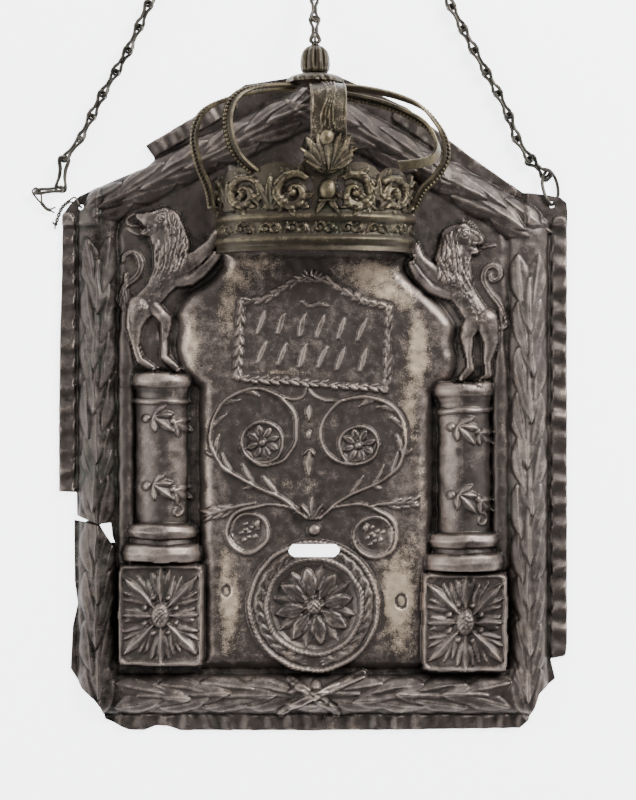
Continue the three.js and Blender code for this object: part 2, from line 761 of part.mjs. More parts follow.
// The crown's plan is a full, squarish half ellipse: a share of a radius becomes this share of its reach
const full = (share) => Math.sign(share) * Math.abs(share) ** 0.8;
const onCrown = (turn, offset = 0) => {
  const [x, z] = [(crownHalfWidth + offset) * full(Math.sin(turn)), (crownProjection + offset) * full(Math.cos(turn))];
  return v(crownX + x, 0, z);
};

function crownBand() {
  const t = crownWall;
  const band = crownRing([
    [-t, bandBottomY],
    [0.2, bandBottomY],
    [2, bandBottomY + 2.5],
    [1.6, bandBottomY + 8],
    [0, bandBottomY + 9],
    [0, bandTopY - 5],
    [1.8, bandTopY - 4],
    [1.8, bandTopY - 1],
    [0, bandTopY],
    [0, coronetTopY],
    [-t, coronetTopY],
    [-t, bandBottomY],
  ]);
  const openings = [];
  const notches = [];
  const count = 9;
  for (let i = 0; i < count; i++) {
    const turn = ((i + 0.5) / count - 0.5) * Math.PI * 0.92;
    const place = onCrown(turn);
    const out = v(place.x - crownX, 0, place.z).normalize();
    const bar = (y, radius, tall) => {
      const ends = [place.clone().addScaledVector(out, -8).setY(y), place.clone().addScaledVector(out, 10).setY(y)];
      return sweep(ends, round(radius, 6).map(([s, h]) => [s, h * tall]), v(0, 1, 0));
    };
    openings.push(bar(bandTopY + coronetHeight * 0.42, 3.4, 1.5));
    notches.push(bar(coronetTopY + (i % 2 ? 2 : 0), i % 2 ? 5.5 : 3.6, 1.1));
  }
  const leaves = [-0.95, -0.5, 0, 0.5, 0.95].map((turn) => {
    const foot = onCrown(turn, -crownWall / 2).setY(bandTopY + 6);
    const tip = onCrown(turn, 2.4).setY(coronetTopY + (turn ? 1.5 : 11));
    const across = new THREE.Vector3().crossVectors(up, onCrown(turn).sub(v(crownX, 0, 0))).normalize();
    const wide = v(-Math.cos(turn), 0, Math.sin(turn)).multiplyScalar(across.lengthSq() ? (turn ? 6 : 9) : 6);
    const middle = onCrown(turn, 3).setY(coronetTopY - 5);
    const back = onCrown(turn, -crownWall).setY(coronetTopY - 5);
    return hull([foot, foot.clone().add(onCrown(turn, 1).sub(onCrown(turn, 0))), tip, middle, back.clone().add(wide), back.clone().sub(wide)]);
  });
  return join([cut(band, [...openings, ...notches]), ...leaves]);
}

// A strap from the coronet to the cap: points of [distance from the crown's axis, height], in an upright plane
function strap(foot, profile, width) {
  const axis = v(crownX, 0, crownAxisZ);
  const out = v(foot.x - axis.x, 0, foot.z - axis.z);
  const reach = out.length();
  out.normalize();
  const across = new THREE.Vector3().crossVectors(v(0, 1, 0), out).normalize();
  const points = profile.map(([share, y]) => {
    const distance = strapGather + (reach - strapGather) * share;
    return axis.clone().addScaledVector(out, distance).setY(y);
  });
  const [w, t] = [width / 2, strapThickness / 2];
  return sweep(points, [[-t, -w], [t, -w], [t, w], [-t, w]], across);
}

const strapTopY = capBottomY - clearance - strapThickness;
const bulge = (footY, wide, topShare = 0.62, lower = 0) => {
  const h = strapTopY - lower - footY;
  return [
    [1, footY],
    [1 + (wide - 1) * 0.6, footY + h * 0.2],
    [wide, footY + h * 0.42],
    [wide, footY + h * 0.6],
    [wide - 0.1, footY + h * 0.76],
    [wide - 0.3, footY + h * 0.88],
    [topShare, footY + h * 0.95],
    [0, footY + h],
  ];
};

// The two right-hand straps are bent outward and sag
const dented = (footY, wide, lower = 0) => {
  const h = strapTopY - lower - footY;
  return [
    [1, footY],
    [wide - 0.12, footY + h * 0.06],
    [wide, footY + h * 0.2],
    [wide, footY + h * 0.4],
    [wide - 0.12, footY + h * 0.6],
    [wide - 0.35, footY + h * 0.8],
    [0.45, footY + h * 0.93],
    [0, footY + h],
  ];
};

function straps() {
  const stand = strapThickness / 2 + clearance;
  const under = strapThickness + 2 * clearance; // the inner straps pass below the outer ones
  const foot = (turn, offset) => onCrown(turn, offset);
  return {
    arch_front: strap(foot(0.2, stand + 4), bulge(coronetTopY - 2, 1.16, 0.7), frontStrapWidth),
    arch_left_inner: strap(foot(-0.6, stand + 3), bulge(coronetTopY - 1, 1.36, 0.62, under), strapWidth),
    arch_right_inner: strap(foot(0.95, stand + 3), dented(coronetTopY + 2, 1.44, 2.6 * under), strapWidth),
    arch_left_outer: strap(v(crownX - crownHalfWidth - stand, 0, outerFootZ), bulge(bandTopY + 6, 1.2), strapWidth),
    arch_right_outer: strap(v(crownX + crownHalfWidth + stand, 0, outerFootZ), dented(bandTopY + 5, 1.36), strapWidth),
  };
}

function crownCap() {
  const y = capBottomY;
  const profile = [
    [0, y],
    [capRadius, y],
    [capRadius, y + 1.2],
    [capRadius * 0.75, y + capThickness * 0.75],
    [finialRadius * 0.6, y + capThickness],
    [0, y + capThickness],
  ];
  return solid(turned(profile, 14, true).translate(crownX, 0, crownAxisZ));
}

const finialBottomY = capBottomY + capThickness + clearance;
const loopY = finialBottomY + finialHeight + loopRadius * 0.8;

function finial() {
  const y = finialBottomY;
  const lobes = 6;
  const profile = [
    [0, y],
    [finialRadius * 0.7, y],
    [finialRadius, y + finialHeight * 0.3],
    [finialRadius * 0.85, y + finialHeight * 0.7],
    [finialRadius * 0.35, y + finialHeight],
    [0, y + finialHeight],
  ];
  const bud = turned(profile, lobes * 2, true);
  const places = bud.attributes.position;
  for (let i = 0; i < places.count; i++) {
    const turn = Math.atan2(places.getZ(i), places.getX(i));
    const flute = 1 + 0.07 * Math.cos(lobes * turn);
    places.setX(i, places.getX(i) * flute);
    places.setZ(i, places.getZ(i) * flute);
  }
  const loop = Array.from({ length: 8 }, (_, i) => {
    const turn = (Math.PI * i) / 4;
    return v(crownX, loopY + loopRadius * Math.cos(turn), crownAxisZ + loopRadius * Math.sin(turn));
  });
  return solid(bud.translate(crownX, 0, crownAxisZ)).add(sweep(loop, round(wire, 4), v(1, 0, 0), true));
}

// One folded link: a wire loop drawn in at its waist, lying along the given line
function link(from, to, turn, halfWide = linkHalfWidth) {
  const along = to.clone().sub(from);
  const half = along.length() / 2 + wire * linkHook;
  along.normalize();
  const flat = new THREE.Vector3().crossVectors(up, along).normalize();
  const side = flat.applyAxisAngle(along, turn);
  const top = new THREE.Vector3().crossVectors(along, side);
  const middle = from.clone().add(to).multiplyScalar(0.5);
  const spots = [[half, halfWide], [0, linkWaist], [-half, halfWide]];
  const points = [...spots, ...spots.map(([a, s]) => [-a, -s])].map(([a, s]) =>
    middle.clone().addScaledVector(along, a).addScaledVector(side, s),
  );
  return sweep(points, round(wire, 3), top, true);
}

const chainZ = 3.6;

const quarter = Math.PI / 4;
const ringLink = [Math.PI / 2, 2.7];

// Where a chain's last link hooks over the top ring
function ringEnd(side) {
  const reach = topRingRadius - topRingWire - clearance - wire * 1.5;
  const turn = (side * Math.PI) / 4;
  return v(reach * Math.sin(turn), topRingY - reach * Math.cos(turn), chainZ);
}

// A place on a side chain, as shares of the half width and of the rise from the shoulder to the top ring
const hang = (out, rise) => v(out * halfWidth, shoulderY + rise * (topRingY - shoulderY), chainZ);
const looseEnd = hang(-1.0824, 0.0216);

// Links of equal pitch along a line, turned a quarter to each other. The end links have their own turn and width
function chain(route, first = [-quarter, linkHalfWidth], last = [quarter, linkHalfWidth]) {
  const path = new THREE.CatmullRomCurve3(route, false, "catmullrom", 0.2);
  const count = Math.max(2, Math.round(path.getLength() / linkPitch));
  const joints = path.getSpacedPoints(count);
  const links = joints.slice(1).map((to, i) => {
    const [turn, wide] = i === 0 ? first : i === count - 1 ? last : [i % 2 ? quarter : -quarter, linkHalfWidth];
    return link(joints[i], to, turn, wide);
  });
  return join(links);
}

function chainLeft() {
  const route = [
    ringEnd(-1),
    hang(-0.6351, 0.4301),
    hang(-0.7254, 0.3216),
    hang(-0.8244, 0.2305),
    hang(-0.9262, 0.122),
    hang(-0.9778, 0.0903),
  ];
  const main = chain(route, ringLink);
  const turnBack = hang(-0.9921, 0.027);
  const long = link(route.at(-1), turnBack, -0.3, linkHalfWidth * 1.3);
  const last = link(turnBack, looseEnd, 0.9, linkHalfWidth * 0.9);
  return join([main, long, last]);
}

function chainRight() {
  const route = [
    ringEnd(1),
    hang(0.5283, 0.4301),
    hang(0.643, 0.3112),
    hang(0.7534, 0.2027),
    hang(0.8201, 0.1116),
    v(ringHole.x - 2.3, ringHole.y + 15.4, ringTopZ),
  ];
  return chain(route, ringLink, [quarter, 3.7]);
}

function chainCentre() {
  const route = [
    v(crownX, loopY + loopRadius - wire - 1.5, crownAxisZ),
    v(0.6, loopY + 26, crownAxisZ * 0.4 + chainZ * 0.6),
    v(0.4, loopY + 52, chainZ),
    ringEnd(0),
  ];
  return chain(route, [0, 2.6], ringLink);
}

function topRing() {
  const points = Array.from({ length: 12 }, (_, i) => {
    const turn = (Math.PI * i) / 6;
    const tilt = (chainZ - topRingWire) * (0.5 - 0.5 * Math.sin(turn));
    return v(topRingRadius * Math.cos(turn), topRingY + topRingRadius * Math.sin(turn), topRingWire + tilt);
  });
  return sweep(points, round(topRingWire, 5), up, true);
}

const ringTopZ = 4.1;

// The long jump ring: in front of the corner tab at the left, behind it at the right
function ringRight() {
  const above = tabRise + sheet + clearance + wire + 0.2;
  const below = tabRise - clearance - wire - 0.1;
  const { x, y } = ringHole;
  const points = curve(
    [
      v(x - 2.2, y + 19, ringTopZ),
      v(x - 5.3, y + 13, above),
      v(x - 4.2, y + 6, above + 0.3),
      v(x - 1.7, y + 1.2, above),
      v(x, y, tabRise + sheet / 2),
      v(x + 1.7, y + 1.4, below),
      v(x + 3.8, y + 6, below),
      v(x + 2.4, y + 14, below + 0.4),
    ],
    16,
    true,
  );
  return sweep(points, round(wire, 4), v(0.1, 0.1, 1), true);
}

// Twisted binding wire along a line, with loose ends
function twisted(route, ends) {
  const points = curve(route, Math.round(new THREE.CatmullRomCurve3(route).getLength() / 1.6));
  const strand = (phase) =>
    points.map((p, i) => {
      const turn = i * 1.6 + phase;
      return p.clone().add(v(0.35 * Math.cos(turn), 0, 0.35 * Math.sin(turn)));
    });
  const tails = ends.map((end) => sweep(end, round(tieWire, 3)));
  return join([sweep(strand(0), round(tieWire, 3)), ...tails]);
}

function tieChain() {
  const { x, y, z } = looseEnd;
  const eye = [
    v(x + 2.1, y - 6.4, z - 0.7),
    v(x + 1.8, y - 2.6, z - 2.2),
    v(x + 1.5, y + 0.1, z),
    v(x - 0.5, y + 1.8, z + 2.4),
    v(x - 3.2, y - 0.1, z + 0.3),
    v(x, y - 4.2, z - 0.4),
    v(x + 2.3, y - 6.6, z - 0.5),
  ];
  const noose = sweep(curve(eye, 13), round(tieWire, 3), v(0.2, 0.1, 1));
  const stem = twisted([v(x + 2.3, y - 6.4, z - 0.6), v(x + 4.5, y - 9, 2), v(x + 6.8, y - 10, 1.6)], [
    [v(x + 6.6, y - 9.8, 1.5), v(x + 9.6, y - 8.4, 1)],
    [v(x + 6.6, y - 10.1, 1.6), v(x + 9, y - 11.4, 0.8)],
  ]);
  return noose.add(stem);
}

function tiePlate() {
  const { x, y } = tieHole;
  const above = tabRise + sheet + clearance + tieWire + 0.2;
  const below = tabRise - clearance - tieWire - 0.2;
  const loop = curve(
    [v(x, y, tabRise + sheet / 2), v(x - 1.2, y + 1.4, above), v(x - 3.4, y + 5.4, above), v(x - 6.8, y + 3.4, 2.6), v(x - 3.6, y + 2.6, below), v(x - 1, y + 0.6, below)],
    12,
    true,
  );
  const stem = twisted([v(x - 6.6, y + 3.6, 2.4), v(x - 11, y - 0.4, 1.8), v(x - 14.5, y - 9.5, 1.3)], [
    [v(x - 14.4, y - 9.2, 1.2), v(x - 14.6, y - 11.6, 0.8)],
    [v(x - 14.4, y - 9.2, 1.3), v(x - 15.8, y - 7.6, 2)],
  ]);
  return sweep(loop, round(tieWire, 3), v(0.2, 0.3, 1), true).add(stem);
}

// The materials: aged silver for the plate, a yellower one for the crown, dark wire for the chains
const finishes = {
  silver: new THREE.MeshStandardMaterial({ color: 0x6f645a, roughness: 0.45, metalness: 0.9 }),
  crown: new THREE.MeshStandardMaterial({ color: 0x6d6350, roughness: 0.5, metalness: 0.9 }),
  chain: new THREE.MeshStandardMaterial({ color: 0x4a4740, roughness: 0.5, metalness: 0.85 }),
};

const shield = new THREE.Group();
function add(name, body, finish) {
  const mesh = new THREE.Mesh(geometryOf(body), finishes[finish]);
  mesh.name = name;
  shield.add(mesh);
}

add("plate", plate(), "silver");
add("crown_band", crownBand(), "crown");
for (const [name, body] of Object.entries(straps())) add(name, body, "crown");
add("crown_cap", crownCap(), "crown");
add("finial", finial(), "crown");
add("chain_left", chainLeft(), "chain");
add("chain_centre", chainCentre(), "chain");
add("chain_right", chainRight(), "chain");
add("ring_right", ringRight(), "chain");
add("wire_tie_chain", tieChain(), "chain");
add("wire_tie_plate", tiePlate(), "chain");
add("top_ring", topRing(), "chain");

export default shield;
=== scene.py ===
"""An old embossed silver torah shield, lying on its back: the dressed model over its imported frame.

The plate and the crown are chased sheet: each is a height field on which ornaments are laid in turn. Sizes
below are in millimetres, +X across, +Y up the shield and +Z out of its front.
"""

import math

import bpy
import numpy as np
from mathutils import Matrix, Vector


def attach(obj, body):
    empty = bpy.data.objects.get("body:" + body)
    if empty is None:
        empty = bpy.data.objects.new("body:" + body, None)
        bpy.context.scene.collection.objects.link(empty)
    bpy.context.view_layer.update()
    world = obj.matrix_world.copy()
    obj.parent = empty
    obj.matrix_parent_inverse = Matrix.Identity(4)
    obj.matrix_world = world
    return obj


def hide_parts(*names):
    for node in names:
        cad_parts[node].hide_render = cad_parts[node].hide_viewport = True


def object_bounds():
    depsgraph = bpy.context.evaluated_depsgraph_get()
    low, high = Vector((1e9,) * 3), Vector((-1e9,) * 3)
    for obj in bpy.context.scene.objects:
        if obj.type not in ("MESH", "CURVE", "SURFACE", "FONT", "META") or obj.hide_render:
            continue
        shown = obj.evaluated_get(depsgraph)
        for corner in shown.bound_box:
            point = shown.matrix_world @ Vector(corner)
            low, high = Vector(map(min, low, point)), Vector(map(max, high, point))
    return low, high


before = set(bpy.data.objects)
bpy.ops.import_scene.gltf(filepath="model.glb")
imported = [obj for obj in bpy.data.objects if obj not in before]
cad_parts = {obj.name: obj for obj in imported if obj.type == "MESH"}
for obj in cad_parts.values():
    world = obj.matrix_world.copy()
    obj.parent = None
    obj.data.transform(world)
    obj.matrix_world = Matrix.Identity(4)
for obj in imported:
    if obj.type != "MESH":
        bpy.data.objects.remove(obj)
cad_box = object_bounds()

bl_info = {
    "name": "Silver torah shield",
    "version": (1, 0, 0),
    "blender": (4, 5, 0),
    "location": "View3D > Sidebar > Torah Shield",
    "description": "Builds an embossed silver torah shield with its crown and chains",
    "category": "Object",
}

MM = 0.001
BODY = "root"

# The sheet and its border
SHEET = 1.0
HALF_WIDTH = round(cad_box[1][0] / MM, 2)
BOTTOM_Y = round(cad_box[0][1] / MM, 2)
SHOULDER_Y = 286.0
APEX_Y = 355.0
RIM_WIDTH = 8.5
ROLL_WIDTH = 22.0
ROLL_HEIGHT = 8.5
ROLL_INSET = 21.5
MOULDING_X = 102.75
TAB_RISE = 2.4

# The middle
FIELD_HEIGHT = 6.5
COLUMN_X = 83.0
COLUMN_DEPTH = 0.82
PEDESTAL_HALF = 23.5
PEDESTAL_DEPTH = 11.0
MEDALLION = (0.6, 64.6)
MEDALLION_RADIUS = 36.5
SLOT = (-13.4, 91.1, 14.6, 98.7)
RING_HOLE = (130.9, 284.5)
TIE_HOLE = (-127.0, 283.0)

# The crown
CROWN_X = 1.2
CROWN_HALF = 53.5
CROWN_DEPTH = 38.0
BAND_Y = 257.0
BAND_TOP = 276.0
CORONET_TOP = 300.0
CAP_Y = 347.5
CAP_Z = 22.0
CAP_RADIUS = 15.4
FINIAL_Y = 353.8
FINIAL_HEIGHT = 14.5
FINIAL_RADIUS = 8.2
LOOP_RADIUS = 2.8

# The chains
WIRE = 0.75
TIE_WIRE = 0.45
CHAIN_Z = 3.6
TOP_RING_WIRE = 1.0
TOP_RING_RADIUS = 11.0
TOP_RING_Y = round(cad_box[1][1] / MM, 2) - TOP_RING_RADIUS - TOP_RING_WIRE

OUTLINE = [
    (-91.9, 317.1), (-70.0, 330.2), (-49.0, 342.4), (-37.4, 350.6), (-13.8, 354.2), (0.0, 355.0),
    (17.1, 354.0), (51.7, 338.0), (71.0, 323.1), (85.8, 311.6), (106.2, 297.3), (115.5, 291.2),
    (126.0, 290.1), (135.5, 288.4), (139.0, 285.5), (139.5, 281.0), (139.5, 160.0), (139.5, 43.2),
    (138.6, 37.1), (130.4, 35.5), (133.1, 24.5), (123.8, 16.8), (121.0, 8.5), (117.2, 0.7), (113.4, -2.6),
    (47.9, -3.6), (0.0, -4.1), (-73.2, -3.9), (-79.8, -1.4), (-86.4, -1.4), (-93.5, -4.0), (-101.2, -3.6),
    (-113.9, 2.5), (-116.1, 9.1), (-119.9, 14.0), (-126.5, 19.5), (-133.1, 30.0), (-132.0, 53.1),
    (-129.2, 65.7), (-130.9, 78.4), (-131.2, 111.6), (-122.9, 109.8), (-117.2, 108.6), (-114.8, 104.4),
    (-111.0, 98.8), (-106.2, 92.0), (-109.6, 102.4), (-110.6, 110.2), (-116.8, 109.8), (-122.7, 111.6),
    (-129.6, 114.1), (-129.8, 126.8), (-139.4, 127.3), (-139.5, 166.4), (-138.9, 214.2), (-138.0, 239.5),
    (-137.4, 278.6), (-133.4, 284.4), (-128.7, 288.8), (-111.1, 297.1), (-91.3, 304.8), (-86.4, 309.4),
]


def in_mm(name):
    """One of the add-on's sizes, in millimetres."""
    return getattr(bpy.context.scene.shield_sizes, name) / MM


def smooth(t):
    """A soft step from 0 to 1."""
    t = np.clip(t, 0.0, 1.0)
    return t * t * (3.0 - 2.0 * t)


def blur(values, radius, pitch):
    """Three box blurs, close to a round blur of that radius."""
    size = max(1, int(round(radius / pitch)))
    out = values
    for _ in range(3):
        for axis in (0, 1):
            pad = [(0, 0), (0, 0)]
            pad[axis] = (size + 1, size)
            total = np.cumsum(np.pad(out, pad, mode="edge"), axis=axis)
            span = 2 * size + 1
            if axis == 0:
                out = (total[span:, :] - total[:-span, :]) / span
            else:
                out = (total[:, span:] - total[:, :-span]) / span
    return out


WAVES = 9


def ripple(x, y, scale, seed):
    """Smooth noise from -1 to 1, the same on each run."""
    rng = np.random.default_rng(seed)
    out = np.zeros_like(x)
    for _ in range(WAVES):
        angle = rng.uniform(0, math.tau)
        length = scale * rng.uniform(0.6, 1.8)
        turn = (x * math.cos(angle) + y * math.sin(angle)) * math.tau / length
        out += np.sin(turn + rng.uniform(0, math.tau))
    return out / 4.0


def curve(points, steps, closed=False):
    """A smooth curve of that many steps through 2D or 3D points."""
    p = np.asarray(points, float)
    n = len(p)
    spans = n if closed else n - 1
    out = []
    for t in np.linspace(0, spans, steps + 1)[: steps if closed else None]:
        i = min(int(t), spans - 1)
        f = t - i
        if closed:
            a, b, c, d = (p[(i + k) % n] for k in (-1, 0, 1, 2))
        else:
            a, b, c, d = (p[min(max(i + k, 0), n - 1)] for k in (-1, 0, 1, 2))
        tangent_b = (c - a) / 2
        tangent_c = (d - b) / 2
        f2, f3 = f * f, f * f * f
        out.append(
            (2 * f3 - 3 * f2 + 1) * b + (f3 - 2 * f2 + f) * tangent_b + (3 * f2 - 2 * f3) * c
            + (f3 - f2) * tangent_c
        )
    return np.array(out)


def arc(x, y, r0, r1, a0, a1, steps=24):
    """Points of a spiral about a centre, from one radius and angle in degrees to another."""
    t = np.linspace(0, 1, steps + 1)
    a = np.radians(a0 + (a1 - a0) * t)
    r = r0 + (r1 - r0) * t
    return np.stack([x + r * np.cos(a), y + r * np.sin(a)], axis=1)


class Relief:
    """A height field in millimetres on which ornaments are laid one after another."""

    def __init__(self, x0, y0, x1, y1, pitch):
        self.pitch = pitch
        self.xs = np.arange(x0, x1 + pitch * 0.5, pitch)
        self.ys = np.arange(y0, y1 + pitch * 0.5, pitch)
        self.gx, self.gy = np.meshgrid(self.xs, self.ys)
        self.x, self.y = self.gx, self.gy
        self.h = np.zeros_like(self.x)
        self.ground = self.h

    def wobble(self, amount, scale, seed):
        """Ornaments laid from now on are drawn with a slightly unsteady hand."""
        self.x = self.gx + amount * ripple(self.gx, self.gy, scale, seed)
        self.y = self.gy + amount * ripple(self.gx, self.gy, scale, seed + 1)

    def settle(self):
        """Ornaments laid from now on stand on what is there now."""
        self.ground = self.h.copy()

    def window(self, x0, y0, x1, y1):
        """The part of the field that holds a box, with a small margin."""
        i0, i1 = np.searchsorted(self.xs, (x0 - 2, x1 + 2))
        j0, j1 = np.searchsorted(self.ys, (y0 - 2, y1 + 2))
        return slice(j0, j1), slice(i0, i1)

    def lay(self, window, rise):
        """Raises the field to its ground plus a rise, where that is higher."""
        spot = self.h[window]
        self.h[window] = np.where(rise > 0, np.maximum(spot, self.ground[window] + rise), spot)

    def press(self, window, depth):
        """Lowers the field."""
        self.h[window] -= np.maximum(depth, 0)

    def leaf(self, x, y, angle, length, width, rise, rib=0.35, round_tip=0.0, lift=0.4, crease=0.0):
        """A pointed leaf from its base, rising to its tip, with a sunken midrib or a raised crease."""
        c, s = math.cos(angle), math.sin(angle)
        reach = max(length, width)
        w = self.window(x - reach, y - reach, x + reach, y + reach)
        dx, dy = self.x[w] - x, self.y[w] - y
        u = (dx * c + dy * s) / length
        v = dy * c - dx * s
        inside = (u > 0) & (u < 1)
        uc = np.clip(u, 0, 1)
        half = width / 2 * np.sin(np.pi * uc ** (0.8 + round_tip)) ** (0.85 - 0.3 * round_tip) + 1e-6
        t = np.abs(v) / half
        tc = np.clip(t, 0, 1)
        body = np.where(inside & (t < 1), (1 - tc**4) ** 0.5 * (1 - lift + lift * uc) + 0.02, 0)
        line = np.exp(-((v / (0.07 * width + 0.15)) ** 2)) * (1 - uc) ** 0.2
        body = body * (1 - 0.3 * crease * tc) + crease * 0.3 * line - 0.6 * rib * line
        self.lay(w, np.where(inside & (t < 1), rise * np.maximum(body, 0.04), 0))

    def bead(self, x, y, rx, ry, rise):
        """A round or oval knob."""
        reach = max(rx, ry)
        w = self.window(x - reach, y - reach, x + reach, y + reach)
        d = ((self.x[w] - x) / rx) ** 2 + ((self.y[w] - y) / ry) ** 2
        self.lay(w, rise * np.maximum(1 - d, 0) ** 0.5)

    def distance(self, points, reach):
        """The window round a line, each place's distance from it, and how far along it that is."""
        p = np.asarray(points, float)
        lo, hi = p.min(axis=0) - reach, p.max(axis=0) + reach
        w = self.window(lo[0], lo[1], hi[0], hi[1])
        x, y = self.x[w], self.y[w]
        best = np.full(x.shape, 1e9)
        along = np.zeros(x.shape)
        side = np.zeros(x.shape)
        start = 0.0
        for a, b in zip(p[:-1], p[1:]):
            d = b - a
            length = max(math.hypot(*d), 1e-6)
            t = np.clip(((x - a[0]) * d[0] + (y - a[1]) * d[1]) / length**2, 0, 1)
            away = np.hypot(x - a[0] - t * d[0], y - a[1] - t * d[1])
            near = away < best
            best = np.where(near, away, best)
            along = np.where(near, start + t * length, along)
            cross = (x - a[0]) * d[1] - (y - a[1]) * d[0]
            side = np.where(near, np.sign(cross) * away, side)
            start += length
        return w, best, along, side, start

    def stroke(self, points, width, rise, taper=(1.0, 1.0), power=2.0, groove=0.0):
        """A raised line of half-round section, which may narrow towards its ends."""
        w, best, along, _, total = self.distance(points, width)
        f = along / max(total, 1e-6)
        head = taper[0] + (1 - taper[0]) * smooth(f * 3)
        tail = taper[1] + (1 - taper[1]) * smooth(3 - 3 * f)
        half = width / 2 * head * tail
        t = best / half
        body = np.where(t < 1, (1 - np.clip(t, 0, 1) ** power) ** 0.5, 0)
        if groove:
            body *= 1 - groove * np.exp(-((t / 0.25) ** 2))
        self.lay(w, rise * body)

    def rope(self, points, width, rise, pitch, slant=1.0):
        """A line of twisted strands."""
        w, best, along, side, _ = self.distance(points, width)
        t = best / (width / 2)
        turn = (along + slant * side) / pitch
        strand = 0.62 + 0.38 * np.abs(np.sin(np.pi * turn))
        self.lay(w, np.where(t < 1, rise * (1 - np.clip(t, 0, 1) ** 2) ** 0.5 * strand, 0))

    def limb(self, knobs, soft=1.0):
        """A tapering round body through (x, y, z, radius) places, in low relief."""
        for (x0, y0, z0, r0), (x1, y1, z1, r1) in zip(knobs[:-1], knobs[1:]):
            reach = max(r0, r1)
            w = self.window(
                min(x0, x1) - reach, min(y0, y1) - reach, max(x0, x1) + reach, max(y0, y1) + reach
            )
            dx, dy = x1 - x0, y1 - y0
            t = ((self.x[w] - x0) * dx + (self.y[w] - y0) * dy) / max(dx * dx + dy * dy, 1e-6)
            t = np.clip(t, 0, 1)
            away = np.hypot(self.x[w] - x0 - t * dx, self.y[w] - y0 - t * dy)
            r = r0 + (r1 - r0) * t
            z = z0 + (z1 - z0) * t
            body = np.where(away < r, z + soft * np.sqrt(np.maximum(r * r - away * away, 0)), 0)
            self.lay(w, body)

    def tone(self):
        """Tarnish, wear and painted light from the shape: 0.5 on plain ground, more on ridges, which are worn
        and carry painted highlights, and less in hollows, which hold tarnish and painted shade.
        """
        fine = self.h - blur(self.h, 0.8, self.pitch)
        middle = self.h - blur(self.h, 2.6, self.pitch)
        wide = self.h - blur(self.h, 9.0, self.pitch)
        edge = np.clip(0.5 + fine * 1.1 + middle * 0.16, 0, 1)
        broad = np.clip(0.5 + wide * 0.05 + middle * 0.08, 0, 1)
        return edge, broad


def hex_colour(code):
    """A linear colour from its usual six digits."""
    values = [int(code[i : i + 2], 16) / 255 for i in (0, 2, 4)]
    return tuple(v / 12.92 if v <= 0.04045 else ((v + 0.055) / 1.055) ** 2.4 for v in values)


# Meshes

SHARP_ANGLE = math.radians(40)


def make_mesh(name, points, faces, material, tones=None, normals=None):
    """A mesh object from millimetre points."""
    mesh = bpy.data.meshes.new(name)
    mesh.from_pydata((np.asarray(points) * MM).tolist(), [], [list(f) for f in faces])
    mesh.validate()
    mesh.polygons.foreach_set("use_smooth", np.ones(len(mesh.polygons), dtype=bool))
    if tones is not None:
        layer = mesh.color_attributes.new("tone", "FLOAT_COLOR", "POINT")
        layer.data.foreach_set("color", np.asarray(tones, dtype=np.float32).ravel())
    if normals is not None:
        mesh.normals_split_custom_set_from_vertices(np.asarray(normals).tolist())
    else:
        mesh.set_sharp_from_angle(angle=SHARP_ANGLE)
    mesh.materials.append(material)
    obj = bpy.data.objects.new(name, mesh)
    bpy.context.scene.collection.objects.link(obj)
    return obj


def claim(obj, slot_name, *nodes):
    """The piece rides on the shield and stands for its frame nodes. Its slot name is not used."""
    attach(obj, BODY)
    if nodes:
        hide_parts(*nodes)
    return obj


def frames(points, top):
    """Tangents, side and top directions along a line of 3D points."""
    p = np.asarray(points, float)
    tangent = np.gradient(p, axis=0)
    tangent /= np.linalg.norm(tangent, axis=1)[:, None]
    side = np.cross(tangent, np.asarray(top, float))
    side /= np.linalg.norm(side, axis=1)[:, None] + 1e-9
    return p, tangent, side, np.cross(side, tangent)


def tube_parts(points, section, top=(0, 0, 1), closed=False):
    """Points and faces of a section, or one for each point, swept along a line."""
    p = np.asarray(points, float)
    if closed:
        wide = np.vstack([p[-1], p, p[0]])
        _, tangent, side, up = frames(wide, top)
        tangent, side, up = tangent[1:-1], side[1:-1], up[1:-1]
    else:
        _, tangent, side, up = frames(p, top)
    section = np.asarray(section, float)
    if section.ndim == 2:
        section = np.repeat(section[None], len(p), axis=0)
    n, m = len(p), section.shape[1]
    verts = p[:, None, :] + section[:, :, :1] * side[:, None, :] + section[:, :, 1:] * up[:, None, :]
    verts = verts.reshape(-1, 3)
    faces = []
    for i in range(n if closed else n - 1):
        j = (i + 1) % n
        for k in range(m):
            l = (k + 1) % m
            faces.append((i * m + k, i * m + l, j * m + l, j * m + k))
    if not closed:
        faces.append(tuple(range(m))[::-1])
        faces.append(tuple(range((n - 1) * m, n * m)))
    return verts, faces


def ring_section(radius, sides):
    """A round section."""
    a = np.linspace(0, math.tau, sides, endpoint=False)
    return np.stack([radius * np.cos(a), radius * np.sin(a)], axis=1)


def ball_parts(centre, radius, rings=6, sides=8):
    """Points and faces of a round bead."""
    verts = [(0, 0, 1)]
    for i in range(1, rings):
        a = math.pi * i / rings
        for k in range(sides):
            b = math.tau * k / sides
            verts.append((math.sin(a) * math.cos(b), math.sin(a) * math.sin(b), math.cos(a)))
    verts.append((0, 0, -1))
    verts = np.array(verts) * radius + np.asarray(centre, float)
    faces = [(0, 1 + k, 1 + (k + 1) % sides) for k in range(sides)]
    for i in range(rings - 2):
        for k in range(sides):
            a, b = 1 + i * sides + k, 1 + i * sides + (k + 1) % sides
            faces.append((a, a + sides, b + sides, b))
    last = len(verts) - 1
    base = 1 + (rings - 2) * sides
    faces += [(last, base + (k + 1) % sides, base + k) for k in range(sides)]
    return verts, faces


def lengths(line):
    """The distance along a line of 3D points, at each of them."""
    return np.concatenate([[0], np.cumsum(np.linalg.norm(np.diff(line, axis=0), axis=1))])


def read_at(where, length, values):
    """3D values that go with lengths along a line, read at other lengths."""
    return np.stack([np.interp(where, length, values[:, a]) for a in range(3)], axis=-1)


